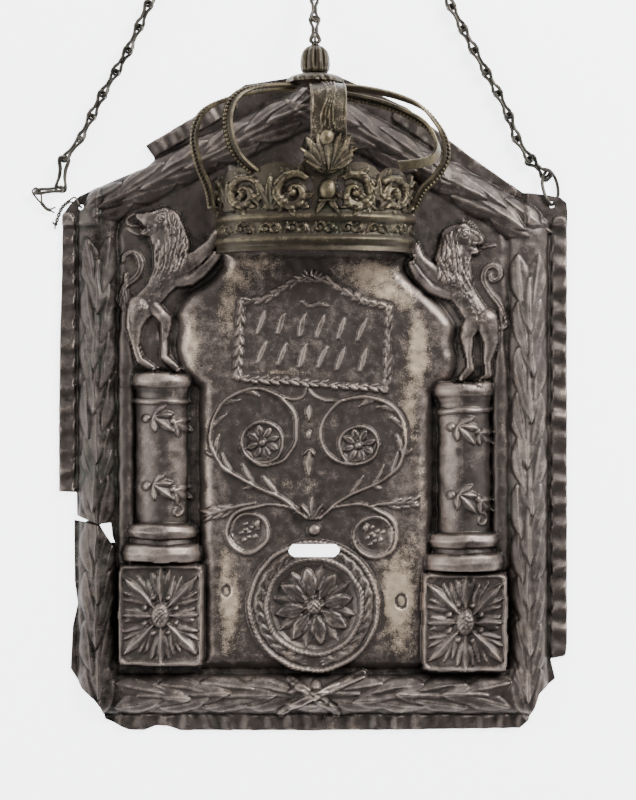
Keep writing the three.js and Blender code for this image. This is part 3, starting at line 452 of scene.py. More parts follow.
def merged(parts):
    """Several (points, faces) as one."""
    verts, faces, start = [], [], 0
    for v, f in parts:
        verts.append(np.asarray(v, float))
        faces += [tuple(i + start for i in face) for face in f]
        start += len(v)
    return np.vstack(verts), faces


def plain_piece(name, parts, slot_name, node_name):
    """A piece of swept, turned or round parts, which stands for one frame node."""
    points, faces = merged(parts)
    return claim(make_mesh(name, points, faces, finish(slot_name, False)), slot_name, node_name)


def tone_layer(edge, broad, warm):
    """The four numbers of each point's tone: ridge and height, which carry wear, tarnish, painted highlights
    and painted shade, then rubbed metal and one.
    """
    ones = np.ones_like(edge)
    return np.stack([edge, broad, warm * ones, ones], axis=-1)


# Materials


def node(tree, kind, **values):
    made = tree.nodes.new(kind)
    for key, value in values.items():
        if key in made.inputs:
            made.inputs[key].default_value = value
        else:
            setattr(made, key.lower(), value)
    return made


def mix(tree, factor, a, b, blend="MIX"):
    """A colour mix; the factor and the colours may be sockets or values."""
    made = tree.nodes.new("ShaderNodeMix")
    made.data_type = "RGBA"
    made.blend_type = blend
    for socket, value in ((made.inputs[0], factor), (made.inputs[6], a), (made.inputs[7], b)):
        if isinstance(value, bpy.types.NodeSocket):
            tree.links.new(value, socket)
        elif socket == made.inputs[0]:
            socket.default_value = value
        else:
            socket.default_value = (*value, 1)
    return made.outputs[2]


def math_node(tree, operation, a, b=0.0, clamp=False):
    made = tree.nodes.new("ShaderNodeMath")
    made.operation = operation
    made.use_clamp = clamp
    for socket, value in zip(made.inputs, (a, b)):
        if isinstance(value, bpy.types.NodeSocket):
            tree.links.new(value, socket)
        else:
            socket.default_value = value
    return made.outputs[0]


def ramp(tree, value, stops):
    made = tree.nodes.new("ShaderNodeValToRGB")
    line = made.color_ramp
    while len(line.elements) > 1:
        line.elements.remove(line.elements[-1])
    for i, (place, colour) in enumerate(stops):
        spot = line.elements[0] if i == 0 else line.elements.new(place)
        spot.position = place
        spot.color = (*colour, 1)
    tree.links.new(value, made.inputs[0])
    return made.outputs[0]


METALLIC = 0.8
ROUGHNESS = 0.43
# Weights of ridge and height in the colour: painted highlights on ridges and painted shade in hollows, along
# with wear and tarnish.
RIDGE_WEIGHT = 0.5
HEIGHT_WEIGHT = 0.36
CLOUD_WEIGHT = 0.8
GRIME_WEIGHT = 1.0
GRAIN_WEIGHT = 0.5
BLACK, WHITE = (0, 0, 0), (1, 1, 1)


def old_silver(name, dark, middle, bright, patina, shaped=True):
    """Tarnished silver: dark in the hollows with tarnish and painted shade, light on the ridges with wear and
    painted highlights, with patina, grain and fine dents.
    """
    material = bpy.data.materials.new(name)
    material.use_nodes = True
    tree = material.node_tree
    shader = tree.nodes["Principled BSDF"]
    place = tree.nodes.new("ShaderNodeTexCoord").outputs["Object"]
    colours = bpy.context.scene.shield_colours

    def noise(scale, detail=5.0, roughness=0.6, stretch=None):
        made = node(tree, "ShaderNodeTexNoise", Scale=scale, Detail=detail, Roughness=roughness)
        source = place
        if stretch:
            mapping = tree.nodes.new("ShaderNodeMapping")
            mapping.inputs["Scale"].default_value = stretch
            tree.links.new(place, mapping.inputs["Vector"])
            source = mapping.outputs["Vector"]
        tree.links.new(source, made.inputs["Vector"])
        return made.outputs["Fac"]

    def centred(value, weight):
        return math_node(tree, "MULTIPLY", math_node(tree, "SUBTRACT", value, 0.5), weight)

    def total(*parts):
        result = parts[0]
        for part in parts[1:]:
            result = math_node(tree, "ADD", result, part)
        return result

    if shaped:
        tone = node(tree, "ShaderNodeAttribute", attribute_name="tone")
        parts = tree.nodes.new("ShaderNodeSeparateColor")
        tree.links.new(tone.outputs["Color"], parts.inputs[0])
        edge, broad, warm = parts.outputs[0], parts.outputs[1], parts.outputs[2]
    else:
        # Without a chased tone, pointiness darkens hollows and lightens edges: painted shade and highlights,
        # along with tarnish and wear.
        point = tree.nodes.new("ShaderNodeNewGeometry").outputs["Pointiness"]
        edge = math_node(tree, "ADD", centred(point, 3.0), 0.5)
        broad, warm = edge, None
    grain = noise(1500, 3.0)
    clouds = noise(30, 6.0, 0.65)
    grime = noise(150, 8.0, 0.75)
    streak = noise(260, 4.0, 0.6, (1, 0.16, 1))
    # Ridges and height lighten or darken the colour: painted highlights and painted shade, along with wear
    # and tarnish.
    shape = total(centred(edge, RIDGE_WEIGHT), centred(broad, HEIGHT_WEIGHT))
    dirt = (centred(clouds, CLOUD_WEIGHT), centred(grime, GRIME_WEIGHT), centred(grain, GRAIN_WEIGHT))
    level = total(shape, *dirt, 0.5)
    base = ramp(tree, level, [(0.12, dark), (0.4, middle), (0.6, middle), (0.98, bright)])
    stain = ramp(tree, noise(46, 6.0, 0.7), [(0.48, BLACK), (0.66, WHITE)])
    low = math_node(tree, "SUBTRACT", 0.78, level, clamp=True)
    base = mix(tree, math_node(tree, "MULTIPLY", stain, low), base, patina)
    ochre = ramp(tree, noise(70, 6.0, 0.7), [(0.56, BLACK), (0.74, (0.3,) * 3)])
    base = mix(tree, math_node(tree, "MULTIPLY", ochre, level), base, tuple(colours.ochre))
    if warm is not None:
        rubbed = total(warm, centred(grime, 1.5), centred(streak, 0.5), centred(grain, 1.2))
        ragged = ramp(tree, rubbed, [(0.28, BLACK), (0.9, WHITE)])
        base = mix(tree, math_node(tree, "MULTIPLY", ragged, 0.85), base, tuple(colours.worn))
    tree.links.new(base, shader.inputs["Base Color"])
    shader.inputs["Metallic"].default_value = METALLIC
    tree.links.new(total(centred(grime, 0.55), centred(streak, 0.2), ROUGHNESS), shader.inputs["Roughness"])
    bump = node(tree, "ShaderNodeBump", Strength=0.55, Distance=0.0004)
    tree.links.new(
        total(centred(grime, 0.9), centred(grain, 0.22), centred(streak, 0.2)), bump.inputs["Height"]
    )
    tree.links.new(bump.outputs[0], shader.inputs["Normal"])
    return material


def finish(name, shaped=True):
    """The material of a slot, made once from the add-on's colours."""
    key = name + ("_chased" if shaped else "_turned")
    found = bpy.data.materials.get(key)
    if found:
        return found
    colours = bpy.context.scene.shield_colours
    tones = [getattr(colours, name + step) for step in ("_dark", "_middle", "_bright", "_patina")]
    return old_silver(key, *[tuple(tone) for tone in tones], shaped=shaped)


# Ornaments of the plate


def outline_distance(x, y, rings):
    """Signed distance to closed outlines, negative inside, and the nearest place on them."""
    best = np.full(x.shape, 1e9)
    nx, ny = np.zeros_like(x), np.zeros_like(x)
    inside = np.zeros(x.shape, bool)
    for ring in rings:
        p = np.asarray(ring, float)
        for a, b in zip(p, np.roll(p, -1, axis=0)):
            d = b - a
            t = np.clip(((x - a[0]) * d[0] + (y - a[1]) * d[1]) / max(d @ d, 1e-9), 0, 1)
            px, py = a[0] + t * d[0], a[1] + t * d[1]
            away = np.hypot(x - px, y - py)
            near = away < best
            best = np.where(near, away, best)
            nx, ny = np.where(near, px, nx), np.where(near, py, ny)
            crosses = (a[1] > y) != (b[1] > y)
            inside ^= crosses & (x < a[0] + (y - a[1]) / (d[1] if d[1] else 1e-9) * d[0])
    return np.where(inside, -best, best), nx, ny


def garland(r, start, end, seed, first=-16.0):
    """A half-round roll of laurel: three rows of long overlapping leaves that point from start to end."""
    a, b = np.array(start), np.array(end)
    length = math.hypot(*(b - a))
    d = (b - a) / length
    across = np.array([-d[1], d[0]])
    turn = math.atan2(d[1], d[0])
    r.ground = np.full_like(r.h, SHEET)
    w, best, _, _, _ = r.distance([a, b], ROLL_WIDTH)
    t = np.clip(best / (ROLL_WIDTH / 2), 0, 1)
    r.lay(w, np.where(t < 1, (ROLL_HEIGHT - SHEET - 2.0) * (1 - t**2.3) ** 0.6, 0))
    r.settle()
    rng = np.random.default_rng(seed)
    count = max(1, round(length / in_mm("leaf_pitch")))
    pitch = length / count
    for row, shift, out, wide, rise in (
        (0, 0.5, -0.3, 0.52, 2.2), (1, 0.5, 0.3, 0.52, 2.2), (2, 0.0, 0.0, 0.56, 3.2)
    ):
        for i in range(-1, count + 1):
            from_end = pitch * (i + shift - 0.08)
            if from_end > length - 5 or from_end < first:
                continue
            place = a + d * from_end + across * out * ROLL_WIDTH + rng.normal(0, 0.35, 2)
            swing = -0.16 * np.sign(out) + rng.normal(0, 0.05)
            long = pitch * (1.2 + rng.normal(0, 0.04))
            r.leaf(*place, turn + swing, long, ROLL_WIDTH * wide, rise, 0.0, 0.12, 0.68, 1.0)
            if row < 2 and rng.uniform() < 0.5:
                place = place + d * pitch * 0.45 + across * np.sign(out) * 2.2
                r.leaf(*place, turn - 0.3 * np.sign(out), long * 0.62, 5.6, rise * 0.72, 0.0, 0.1, 0.5, 0.8)
    for i in range(count):
        for s in (-1, 1):
            place = a + d * pitch * (i + 0.9) + across * s * ROLL_WIDTH * 0.2
            r.bead(*place, 0.9, 0.9, 1.5)


def rim(r, start, end, seed):
    """A flat flange hammered into a row of oval hollows between soft ribs."""
    a, b = np.array(start), np.array(end)
    length = math.hypot(*(b - a))
    w, best, along, _, _ = r.distance([a, b], RIM_WIDTH)
    pitch = length / round(length / in_mm("rim_pitch"))
    phase = along / pitch + 0.1 * ripple(r.gx[w], r.gy[w], 40, seed)
    u = 0.5 + 0.5 * np.cos(phase * math.tau)
    t = np.clip(best / (RIM_WIDTH / 2), 0, 1)
    strength = 0.85 + 0.3 * ripple(r.gx[w], r.gy[w], 34, seed + 9)
    rise = 0.9 + strength * (0.95 * u**1.6 - 0.62 * (1 - u) ** 1.5 * (1 - t**2.5)) - 0.35 * t**6
    r.lay(w, np.where(best < RIM_WIDTH / 2, np.maximum(rise, 0), 0))


def column(r, side, foot):
    """A half-round column with its base and capital, standing at that height."""
    x = side * COLUMN_X
    heights = [
        0, 1, 4.5, 8, 9.2, 9.6, 12.6, 13.2, 16.5, 19.8, 20.4, 21.2, 86, 86.4, 87.6, 88.8, 89.2, 92, 95.4, 96,
        98.6, 101.5, 102.2, 103,
    ]
    radius = [
        20.5, 21.8, 22.6, 21.8, 20.5, 17.6, 16.8, 18.8, 20.2, 18.8, 16.6, 14.3, 14.3, 15.1, 15.6, 15.1, 14.1,
        14.2, 15.4, 16.4, 17, 16.4, 15.6, 14.6,
    ]
    w = r.window(x - 24, foot - 1, x + 24, foot + 104)
    tilt = 0.012 * (r.x[w] - x) if side < 0 else -0.02 * (r.x[w] - x)
    up = r.y[w] - foot + tilt
    reach = np.interp(up, heights, radius)
    across = np.abs(r.x[w] - x)
    on = (up >= 0) & (up <= 103) & (across < reach)
    r.lay(w, np.where(on, COLUMN_DEPTH * np.sqrt(np.maximum(reach**2 - across**2, 0)) - 0.4, 0))


def sprig(r, x, y, size, turn):
    """A bead, a lobed leaf and a second bead."""
    r.bead(x - 9.5 * size, y + 3.5, 2.3, 2.3, 1.8)
    x0, y0 = x - 5.5 * size, y + 4.5 * size
    for lobe, length in ((-2.3, 9), (-1.5, 15), (-0.8, 12), (-0.2, 10)):
        r.leaf(x0, y0, turn + lobe, length * size, 4.8 * size, 1.9, 0.0, 0.2, 0.3, 1.2)
    r.bead(x + 6.5 * size, y + 1.5, 2.0, 2.0, 1.7)
    for lobe, length in ((-2.2, 8), (-1.4, 11), (-0.7, 9)):
        r.leaf(x + 7 * size, y + 1, turn + lobe, length * size, 4.0 * size, 1.7, 0.0, 0.2, 0.3, 1.2)


def pedestal(r, side, bottom, top):
    """A square block with a ridge round it, eight leaves and an oval boss."""
    x = side * COLUMN_X
    half = PEDESTAL_HALF
    w = r.window(x - half - 2, bottom - 2, x + half + 2, top + 2)
    dx = half - np.abs(r.x[w] - x)
    dy = (top - bottom) / 2 - np.abs(r.y[w] - (top + bottom) / 2)
    corner = np.minimum(dx, dy) - 0.6 * np.exp(-((dx - dy) ** 2) / 12) * (np.maximum(dx, dy) < 4)
    body = np.where(corner > 0, PEDESTAL_DEPTH - 1.6 - 1.2 * (1 - smooth(corner / 1.2)), 0)
    ridge = 1.5 * np.exp(-(((corner - 1.5) / 0.8) ** 2))
    r.lay(w, np.where(corner > 0, body + ridge, 0))
    r.settle()
    cy = (bottom + top) / 2
    rng = np.random.default_rng(34 + side)
    for i in range(4):
        angle = math.pi / 4 + i * math.pi / 2
        c, s = math.cos(angle), math.sin(angle) * 1.08
        for bend in (-0.62, -0.36, 0.36, 0.62):
            long = 19.5 - 7 * abs(bend) + rng.normal(0, 0.8)
            r.leaf(x + 7 * c, cy + 8 * s, angle + bend, long, 3.4, 1.2, 0.0, 0.1, 0.4, 0.9)
        r.leaf(x + 5 * c, cy + 6 * s, angle, 23.5, 6.6, 2.0, 0.0, 0.15, 0.3, 1.4)
    for i in range(4):
        angle = i * math.pi / 2
        for bend in (-0.3, 0.3):
            start = (x + 8 * math.cos(angle), cy + 9 * math.sin(angle))
            r.leaf(
                *start, angle + bend, 11.5 + 4.5 * (i % 2) + rng.normal(0, 0.6), 4.0, 1.1, 0.0, 0.2, 0.4, 0.9
            )
        r.leaf(
            x + 5 * math.cos(angle), cy + 7 * math.sin(angle), angle, 15.5 + 5 * (i % 2), 5.4, 1.7, 0.0, 0.1,
            0.3, 1.4,
        )
        r.bead(x + 9.4 * math.cos(angle + 0.42), cy + 10.4 * math.sin(angle + 0.42), 1.5, 1.5, 1.9)
        r.bead(x + 9.4 * math.cos(angle - 0.42), cy + 10.4 * math.sin(angle - 0.42), 1.5, 1.5, 1.9)
    r.settle()
    r.bead(x, cy, 5.2, 7.2, 3.4)
    r.settle()
    for ring, count in ((0.0, 1), (1.7, 6), (3.3, 11)):
        for k in range(count):
            a = math.tau * k / count + ring
            r.bead(x + ring * math.cos(a), cy + 1.35 * ring * math.sin(a), 0.75, 0.8, 0.55)


LION_LEFT = {
    "body": [(-79, 247, 1.6, 8.5), (-86, 237, 1.4, 6.6), (-94, 227.5, 1.8, 6.8)],
    "mane": [(-81, 273, 1.8, 9.6), (-77.6, 262, 2.2, 10.4), (-78.4, 251.5, 1.8, 8.8)],
    "head": [(-83, 275.5, 2.4, 7.4), (-89.5, 276, 3.0, 4.6), (-94.6, 277.4, 2.8, 2.4)],
    "jaw": [(-86.5, 269.8, 2.0, 3.8), (-92.4, 269, 2.0, 2.0)],
    "lips": [
        [(-93, 279.8), (-98, 279), (-102.4, 276.6), (-101.4, 273.8), (-96.8, 272.8), (-92, 273)],
        [(-102.6, 272.6), (-99, 269.2), (-94, 268), (-90.6, 269), (-89.6, 272)],
    ],
    "arms": [
        [(-75, 249, 1.6, 6.6), (-64, 254.5, 2.4, 4.4), (-56, 262, 2.6, 3.4), (-52.6, 268, 2.6, 2.8)],
        [(-76, 243.4, 1.4, 4.6), (-67, 242.8, 2.2, 3.2), (-58, 250, 2.4, 2.8), (-53, 256.6, 2.4, 2.6)],
    ],
    "legs": [
        [
            (-95, 228, 1.8, 6.8), (-98, 217, 2.2, 4.4), (-96.6, 207, 1.8, 2.3), (-95, 199, 1.6, 2.2),
            (-88, 194.4, 1.4, 2.0),
        ],
        [
            (-88, 229, 1.6, 4.4), (-80.4, 221.4, 2.4, 3.3), (-81, 210, 2.0, 2.1), (-81.4, 201, 1.8, 2.1),
            (-74.6, 194.6, 1.5, 2.0),
        ],
    ],
    "tail": [
        (-101.7, 225.1), (-105.9, 231), (-105.2, 235), (-102.5, 240.3), (-97.5, 244.5), (-94.3, 248.7),
        (-94.3, 253.2), (-96.9, 257.1), (-100.3, 258.2), (-103.4, 256.3), (-104, 253.8),
    ],
    "eye": (-82.8, 276.9),
}
LION_RIGHT = {
    "body": [(78, 241, 1.6, 8.5), (84.5, 231, 1.4, 6.6), (92, 221, 1.8, 6.8)],
    "mane": [(79, 264.5, 1.8, 9.4), (76.6, 254, 2.2, 9.8), (79, 244.5, 1.8, 8.8)],
    "head": [(82, 267, 2.4, 7.0), (87, 266, 3.0, 4.6), (91, 264.8, 2.8, 2.8)],
    "jaw": [(84.4, 260.6, 2.0, 4.0), (88.8, 258.8, 2.0, 2.2)],
    "lips": [
        [(86, 270), (89.6, 268.4), (92.4, 265.4), (91, 262.8), (87.4, 262.6)],
        [(88.4, 261.6), (92, 260.6), (96, 261.6), (99.6, 262)],
        [(86.6, 257.6), (89.6, 257), (92.4, 259)],
    ],
    "arms": [
        [(74, 243, 1.6, 6.0), (65, 247.5, 2.4, 4.2), (58.6, 254, 2.6, 3.4), (56, 261, 2.6, 2.8)],
        [(74, 236.4, 1.4, 4.4), (65, 238.6, 2.2, 3.0), (58, 244.6, 2.4, 2.8), (54.6, 251.6, 2.4, 2.6)],
    ],
    "legs": [
        [
            (88, 220, 1.8, 5.4), (83.6, 212.4, 2.2, 3.5), (85.6, 202, 1.9, 2.1), (86.2, 194.4, 1.7, 2.1),
            (81.4, 189.2, 1.4, 2.0),
        ],
        [
            (94.6, 221, 1.8, 6.8), (97.2, 209, 2.2, 4.2), (95.4, 199, 1.8, 2.2), (95.8, 191, 1.6, 2.1),
            (92, 188, 1.4, 1.9),
        ],
    ],
    "tail": [
        (102.4, 216.5), (106, 219), (102.8, 228.6), (96.8, 236.6), (93.4, 243.2), (94.2, 249), (98.4, 251.2),
        (102.4, 248.6), (102.2, 244.2), (98.4, 242.8), (97, 245.6),
    ],
    "eye": (82.9, 268.3),
}


def lion(r, pose, seed):
    """A lion rampant in low relief, its mane drawn in long wavy locks."""
    rng = np.random.default_rng(seed)
    out = -1 if pose["eye"][0] < 0 else 1
    eye = np.array(pose["eye"])
    r.stroke(curve(pose["tail"], 44), 3.4, 1.7, taper=(0.8, 0.8), groove=0.45)
    r.limb(pose["body"], 0.42)
    for limb in pose["legs"] + pose["arms"]:
        r.limb(limb, 0.62)
    r.limb(pose["mane"], 0.3)
    r.limb(pose["jaw"], 0.6)
    r.limb(pose["head"], 0.42)
    r.settle()
    spine = curve([p[:2] for p in pose["mane"]], 30)
    for row in range(9):
        for k in range(9):
            f = (row + 0.5 * (k % 2)) / 8.6
            side = (k - 4) / 4
            centre = spine[min(int(f * 30), 30)]
            reach = 9.4 - 2.5 * abs(f - 0.5)
            x = centre[0] - out * side * reach * 0.92 + rng.normal(0, 0.4)
            y = centre[1] + 6.5 * (1 - f) - 5.5 * abs(side) ** 2 * (1 - f) + rng.normal(0, 0.5)
            if (x - eye[0]) * out > -1.5 and y > eye[1] - 11:
                continue
            lean = -math.pi / 2 - out * 0.35 * (1 - side) * (1 - f) + out * 0.2 * f + rng.normal(0, 0.1)
            size = 6.6 + rng.normal(0, 0.7)
            mid = (x + size * 0.5 * math.cos(lean) + out * 0.5, y + size * 0.5 * math.sin(lean))
            end = (x + size * math.cos(lean + out * 0.16), y + size * math.sin(lean + out * 0.16))
            r.stroke(curve([(x, y), mid, end], 5), 1.25, 0.85 + rng.uniform(-0.2, 0.35), taper=(0.3, 0.2))
    for k in range(13):
        a = math.radians(50 + k * 15) if out < 0 else math.radians(130 - k * 15)
        x, y = eye + 4.4 * np.array([math.cos(a), math.sin(a)])
        tip = eye + (7.6, 0) @ np.array([[math.cos(a - out * 0.32), math.sin(a - out * 0.32)], [0, 0]])
        if (x - eye[0]) * out > 3.5:
            continue
        r.stroke(
            curve([(x, y), tuple((np.array([x, y]) + tip) / 2 + (0, 0.3)), tuple(tip)], 5), 1.2, 0.8,
            taper=(0.3, 0.2),
        )
    for reach, rise in ((1.1, 0.9), (2.5, 0.6)):
        r.stroke(arc(*eye, reach, reach, 0, 360 if reach < 3 else 300, 14), 0.8, rise)
    r.bead(*eye, 0.6, 0.5, 0.7)
    for line in pose["lips"]:
        r.stroke(curve(line, 12), 1.5, 1.2, taper=(0.6, 0.4))
    nose = np.array(pose["lips"][0][1])
    r.bead(nose[0], nose[1], 1.4, 1.0, 1.2)
    r.stroke(
        curve([nose - (out * 1, -0.4), eye + (out * 4, 4.2), eye + (0, 4.6)], 8), 1.0, 0.8, taper=(0.4, 0.4)
    )
    for limb in pose["legs"] + pose["arms"]:
        x, y = limb[-1][:2]
        px, py = limb[-2][:2]
        turn = math.atan2(y - py, x - px)
        for spread in (-0.75, 0.0, 0.75):
            r.leaf(x, y, turn + spread, 3.8, 1.7, 1.2, rib=0.0, round_tip=0.6)
    hip = np.array(pose["body"][-1][:2])
    chest = np.array(pose["body"][0][:2])
    for k in range(46):
        f = rng.uniform(0, 0.85)
        x, y = chest * f + hip * (1 - f) + rng.normal(0, 2.2, 2)
        r.stroke([(x, y), (x + out * 0.8, y - 1.4)], 0.8, 0.4, taper=(0.4, 0.4))


def cartouche(r):
    """A narrow leafy frame with a low gable round rows of plain strokes."""
    corners = [
        (-41.0, 189.5), (40.2, 183.6), (41.4, 228.0), (27.0, 231.5), (6.5, 243.0), (-8.0, 243.4),
        (-26.0, 233.0), (-39.0, 230.6),
    ]
    rng = np.random.default_rng(30)
    for a, b in zip(corners, corners[1:] + corners[:1]):
        r.stroke([a, b], 2.4, 1.0)
        d = np.array(b) - np.array(a)
        length = math.hypot(*d)
        turn = math.atan2(d[1], d[0])
        count = max(2, round(length / 5.6))
        for k in range(count):
            x, y = np.array(a) + d * (k + 0.1) / count
            r.leaf(x, y, turn - 0.3 + rng.normal(0, 0.08), 6.6, 2.6, 1.9, 0.0, 0.1, 0.4, 0.9)
            r.leaf(x, y, turn + 0.3 + rng.normal(0, 0.08), 5.6, 2.2, 1.5, 0.0, 0.1, 0.4, 0.9)
    for x, y in corners[:4] + corners[7:]:
        r.bead(x, y, 1.7, 1.7, 1.9)
    for k in range(-3, 4):
        r.leaf(
            -0.5 + 1.2 * k, 243.5, math.pi / 2 - 0.42 * k, 5.8 - 0.5 * abs(k), 2.4, 1.7, 0.0, 0.2, 0.4, 0.8
        )
    for row, y in enumerate((218.0, 201.5)):
        for k in range(6):
            x = -28.0 + k * 11.0 + rng.normal(0, 0.6)
            mid = y - 0.075 * (x + 1)
            tall = (5.6, 5.0, 5.3)[(k + row) % 3]
            lean = 1.6 + rng.normal(0, 0.25)
            r.stroke(
                [(x + lean, mid + tall), (x, mid), (x - lean, mid - tall)], 3.2, 1.2, taper=(0.55, 0.7),
                power=5,
            )
    r.stroke(curve([(-6, 231), (-2, 228.4), (3, 230), (8, 229)], 12), 2.3, 1.1, taper=(0.5, 0.5), power=5)


BIG_SCROLL_LEFT = [
    (-3.9, 113.0), (-15.4, 122.9), (-27.5, 128.4), (-40.2, 135.0), (-50.6, 142.0), (-56.2, 155.9),
    (-53.0, 170.2), (-44.0, 180.2), (-31.4, 183.6), (-20.4, 180.7), (-12.1, 172.5), (-8.8, 162.0),
    (-10.4, 152.1), (-17.1, 144.3), (-27.5, 141.6), (-36.4, 146.6), (-39.2, 154.4),
]
BIG_SCROLL_RIGHT = [
    (3.9, 113.0), (15.4, 122.9), (27.5, 128.4), (39.2, 134.4), (47.3, 142.0), (50.8, 155.9), (48.0, 167.5),
    (40.0, 176.0), (27.0, 179.2), (15.4, 176.4), (7.6, 169.7), (4.3, 160.9), (5.4, 152.1), (12.0, 144.9),
    (23.1, 142.2), (32.5, 145.9), (36.0, 153.0),
]


def flower(r, x, y, radius, petals=8, rise=1.3):
    for i in range(petals):
        angle = math.tau * i / petals + 0.3
        x0, y0 = x + 0.2 * radius * math.cos(angle), y + 0.2 * radius * math.sin(angle)
        r.leaf(x0, y0, angle, radius * 0.7, radius * 0.36, rise, rib=0.5, round_tip=0.4)
    r.bead(x, y, radius * 0.22, radius * 0.22, rise * 1.9)


def scrolls(r):
    """Two pairs of acanthus scrolls with a flower in each, and the drops on the axis."""
    for side, points in ((-1, BIG_SCROLL_LEFT), (1, BIG_SCROLL_RIGHT)):
        line = curve(points, 110)
        r.stroke(line, 2.1, 1.9, taper=(0.9, 0.8))
        for k in range(9, 56, 7):
            p, q = line[k], line[k + 2]
            turn = math.atan2(q[1] - p[1], q[0] - p[0])
            size = 1.2 - 0.008 * k
            bend = side * 0.55
            end = p + 12.5 * size * np.array([math.cos(turn + bend), math.sin(turn + bend)])
            mid = (p + end) / 2 + 1.2 * np.array([math.cos(turn), math.sin(turn)])
            r.stroke(curve([tuple(p), tuple(mid), tuple(end)], 8), 2.4, 1.4, taper=(0.5, 0.4), groove=0.3)
            if k in (16, 30):
                r.leaf(*p, turn - 1.2 * bend, 6.5, 2.4, 1.2, 0.0, 0.0, 0.4, 0.8)
    for x, y, reach in ((-27.5, 154.3, 11.2), (24.9, 152.6, 10.6)):
        r.stroke(arc(x, y, reach, reach, 0, 360, 44), 1.8, 1.6)
        w = r.window(x - reach, y - reach, x + reach, y + reach)
        r.press(w, 0.5 * smooth((reach - 1 - np.hypot(r.x[w] - x, r.y[w] - y)) / 2))
        r.settle()
        flower(r, x, y, 10.4)
    for x, y, reach, side in ((-35.2, 105.3, 12.6, -1), (33.6, 103.1, 13.0, 1)):
        start = 90 - side * 15
        line = arc(x, y, reach, reach * 0.78, start, start - side * 400, 46)
        lead = curve(
            [(side * 6, 115.0), (side * 14, 119.4), (side * 24, 120.4), (side * 31, 119.2), tuple(line[0])],
            14,
        )
        r.stroke(np.vstack([lead, line[1:]]), 2.1, 1.6, taper=(0.7, 0.6))
        r.stroke(arc(x, y, reach - 2.2, reach - 3.4, 200, 560, 36), 1.0, 0.8)
        w = r.window(x - reach, y - reach, x + reach, y + reach)
        r.press(w, 0.4 * smooth((reach - 3.5 - np.hypot(r.x[w] - x, r.y[w] - y)) / 2))
        r.settle()
        for k in range(9):
            angle = 2.4 * k
            away = 1.9 * math.sqrt(k)
            r.bead(x + away * math.cos(angle), y + away * math.sin(angle), 1.1, 0.9, 0.9)
        r.bead(x + 5.6 * math.cos(0.6) * -side, y + 4.4, 1.8, 2.1, 1.9)
        tip = (-60.0, 113.6) if side < 0 else (56.7, 121.5)
        root = (side * 31.5, 119.4 if side > 0 else 121.0)
        turn = math.atan2(tip[1] - root[1], tip[0] - root[0])
        long = math.hypot(tip[0] - root[0], tip[1] - root[1])
        r.stroke(
            curve([root, ((root[0] + tip[0]) / 2, (root[1] + tip[1]) / 2 + 1), tip], 8), 2.0, 1.6,
            taper=(0.7, 0.4),
        )
        for k in range(3):
            x0, y0 = np.array(root) + (np.array(tip) - root) * (0.35 + 0.2 * k)
            r.leaf(x0, y0, turn + side * 0.35, long * 0.36, 3.2, 1.5, 0.0, 0.1, 0.4, 0.9)
            r.leaf(x0, y0, turn - side * 0.3, long * 0.32, 2.6, 1.3, 0.0, 0.1, 0.4, 0.9)
    r.stroke(
        curve([(-3.1, 184.6), (-5.5, 180), (-12, 178), (-19, 180), (-25, 182.4)], 16), 1.5, 1.0,
        taper=(0.8, 0.5),
    )
    r.stroke(curve([(-3.1, 184.6), (1, 179.5), (7.7, 176.6), (16, 177.4)], 14), 1.5, 1.0, taper=(0.8, 0.8))
    for x, y, turn, length, wide in (
        (-2.2, 175.0, -90, 9.5, 3.6), (-2.2, 149.8, -90, 14.5, 4.4), (-2.2, 151, -50, 5.0, 2.0),
        (-2.2, 151, -130, 5.0, 2.0),
    ):
        r.leaf(x, y, math.radians(turn), length, wide, 1.7, 0.0, 0.2, 0.3, 0.9)
    r.bead(-2.2, 158.4, 1.8, 2.6, 2.0)
    for turn in (25, 55, 90, 125, 155):
        size = 13.0 if turn == 90 else 10.5
        r.leaf(-0.6, 112.0, math.radians(turn), size, 3.2, 1.7, 0.0, 0.2, 0.3, 0.9)
    r.bead(0.6, 106.8, 3.3, 3.3, 3.0)


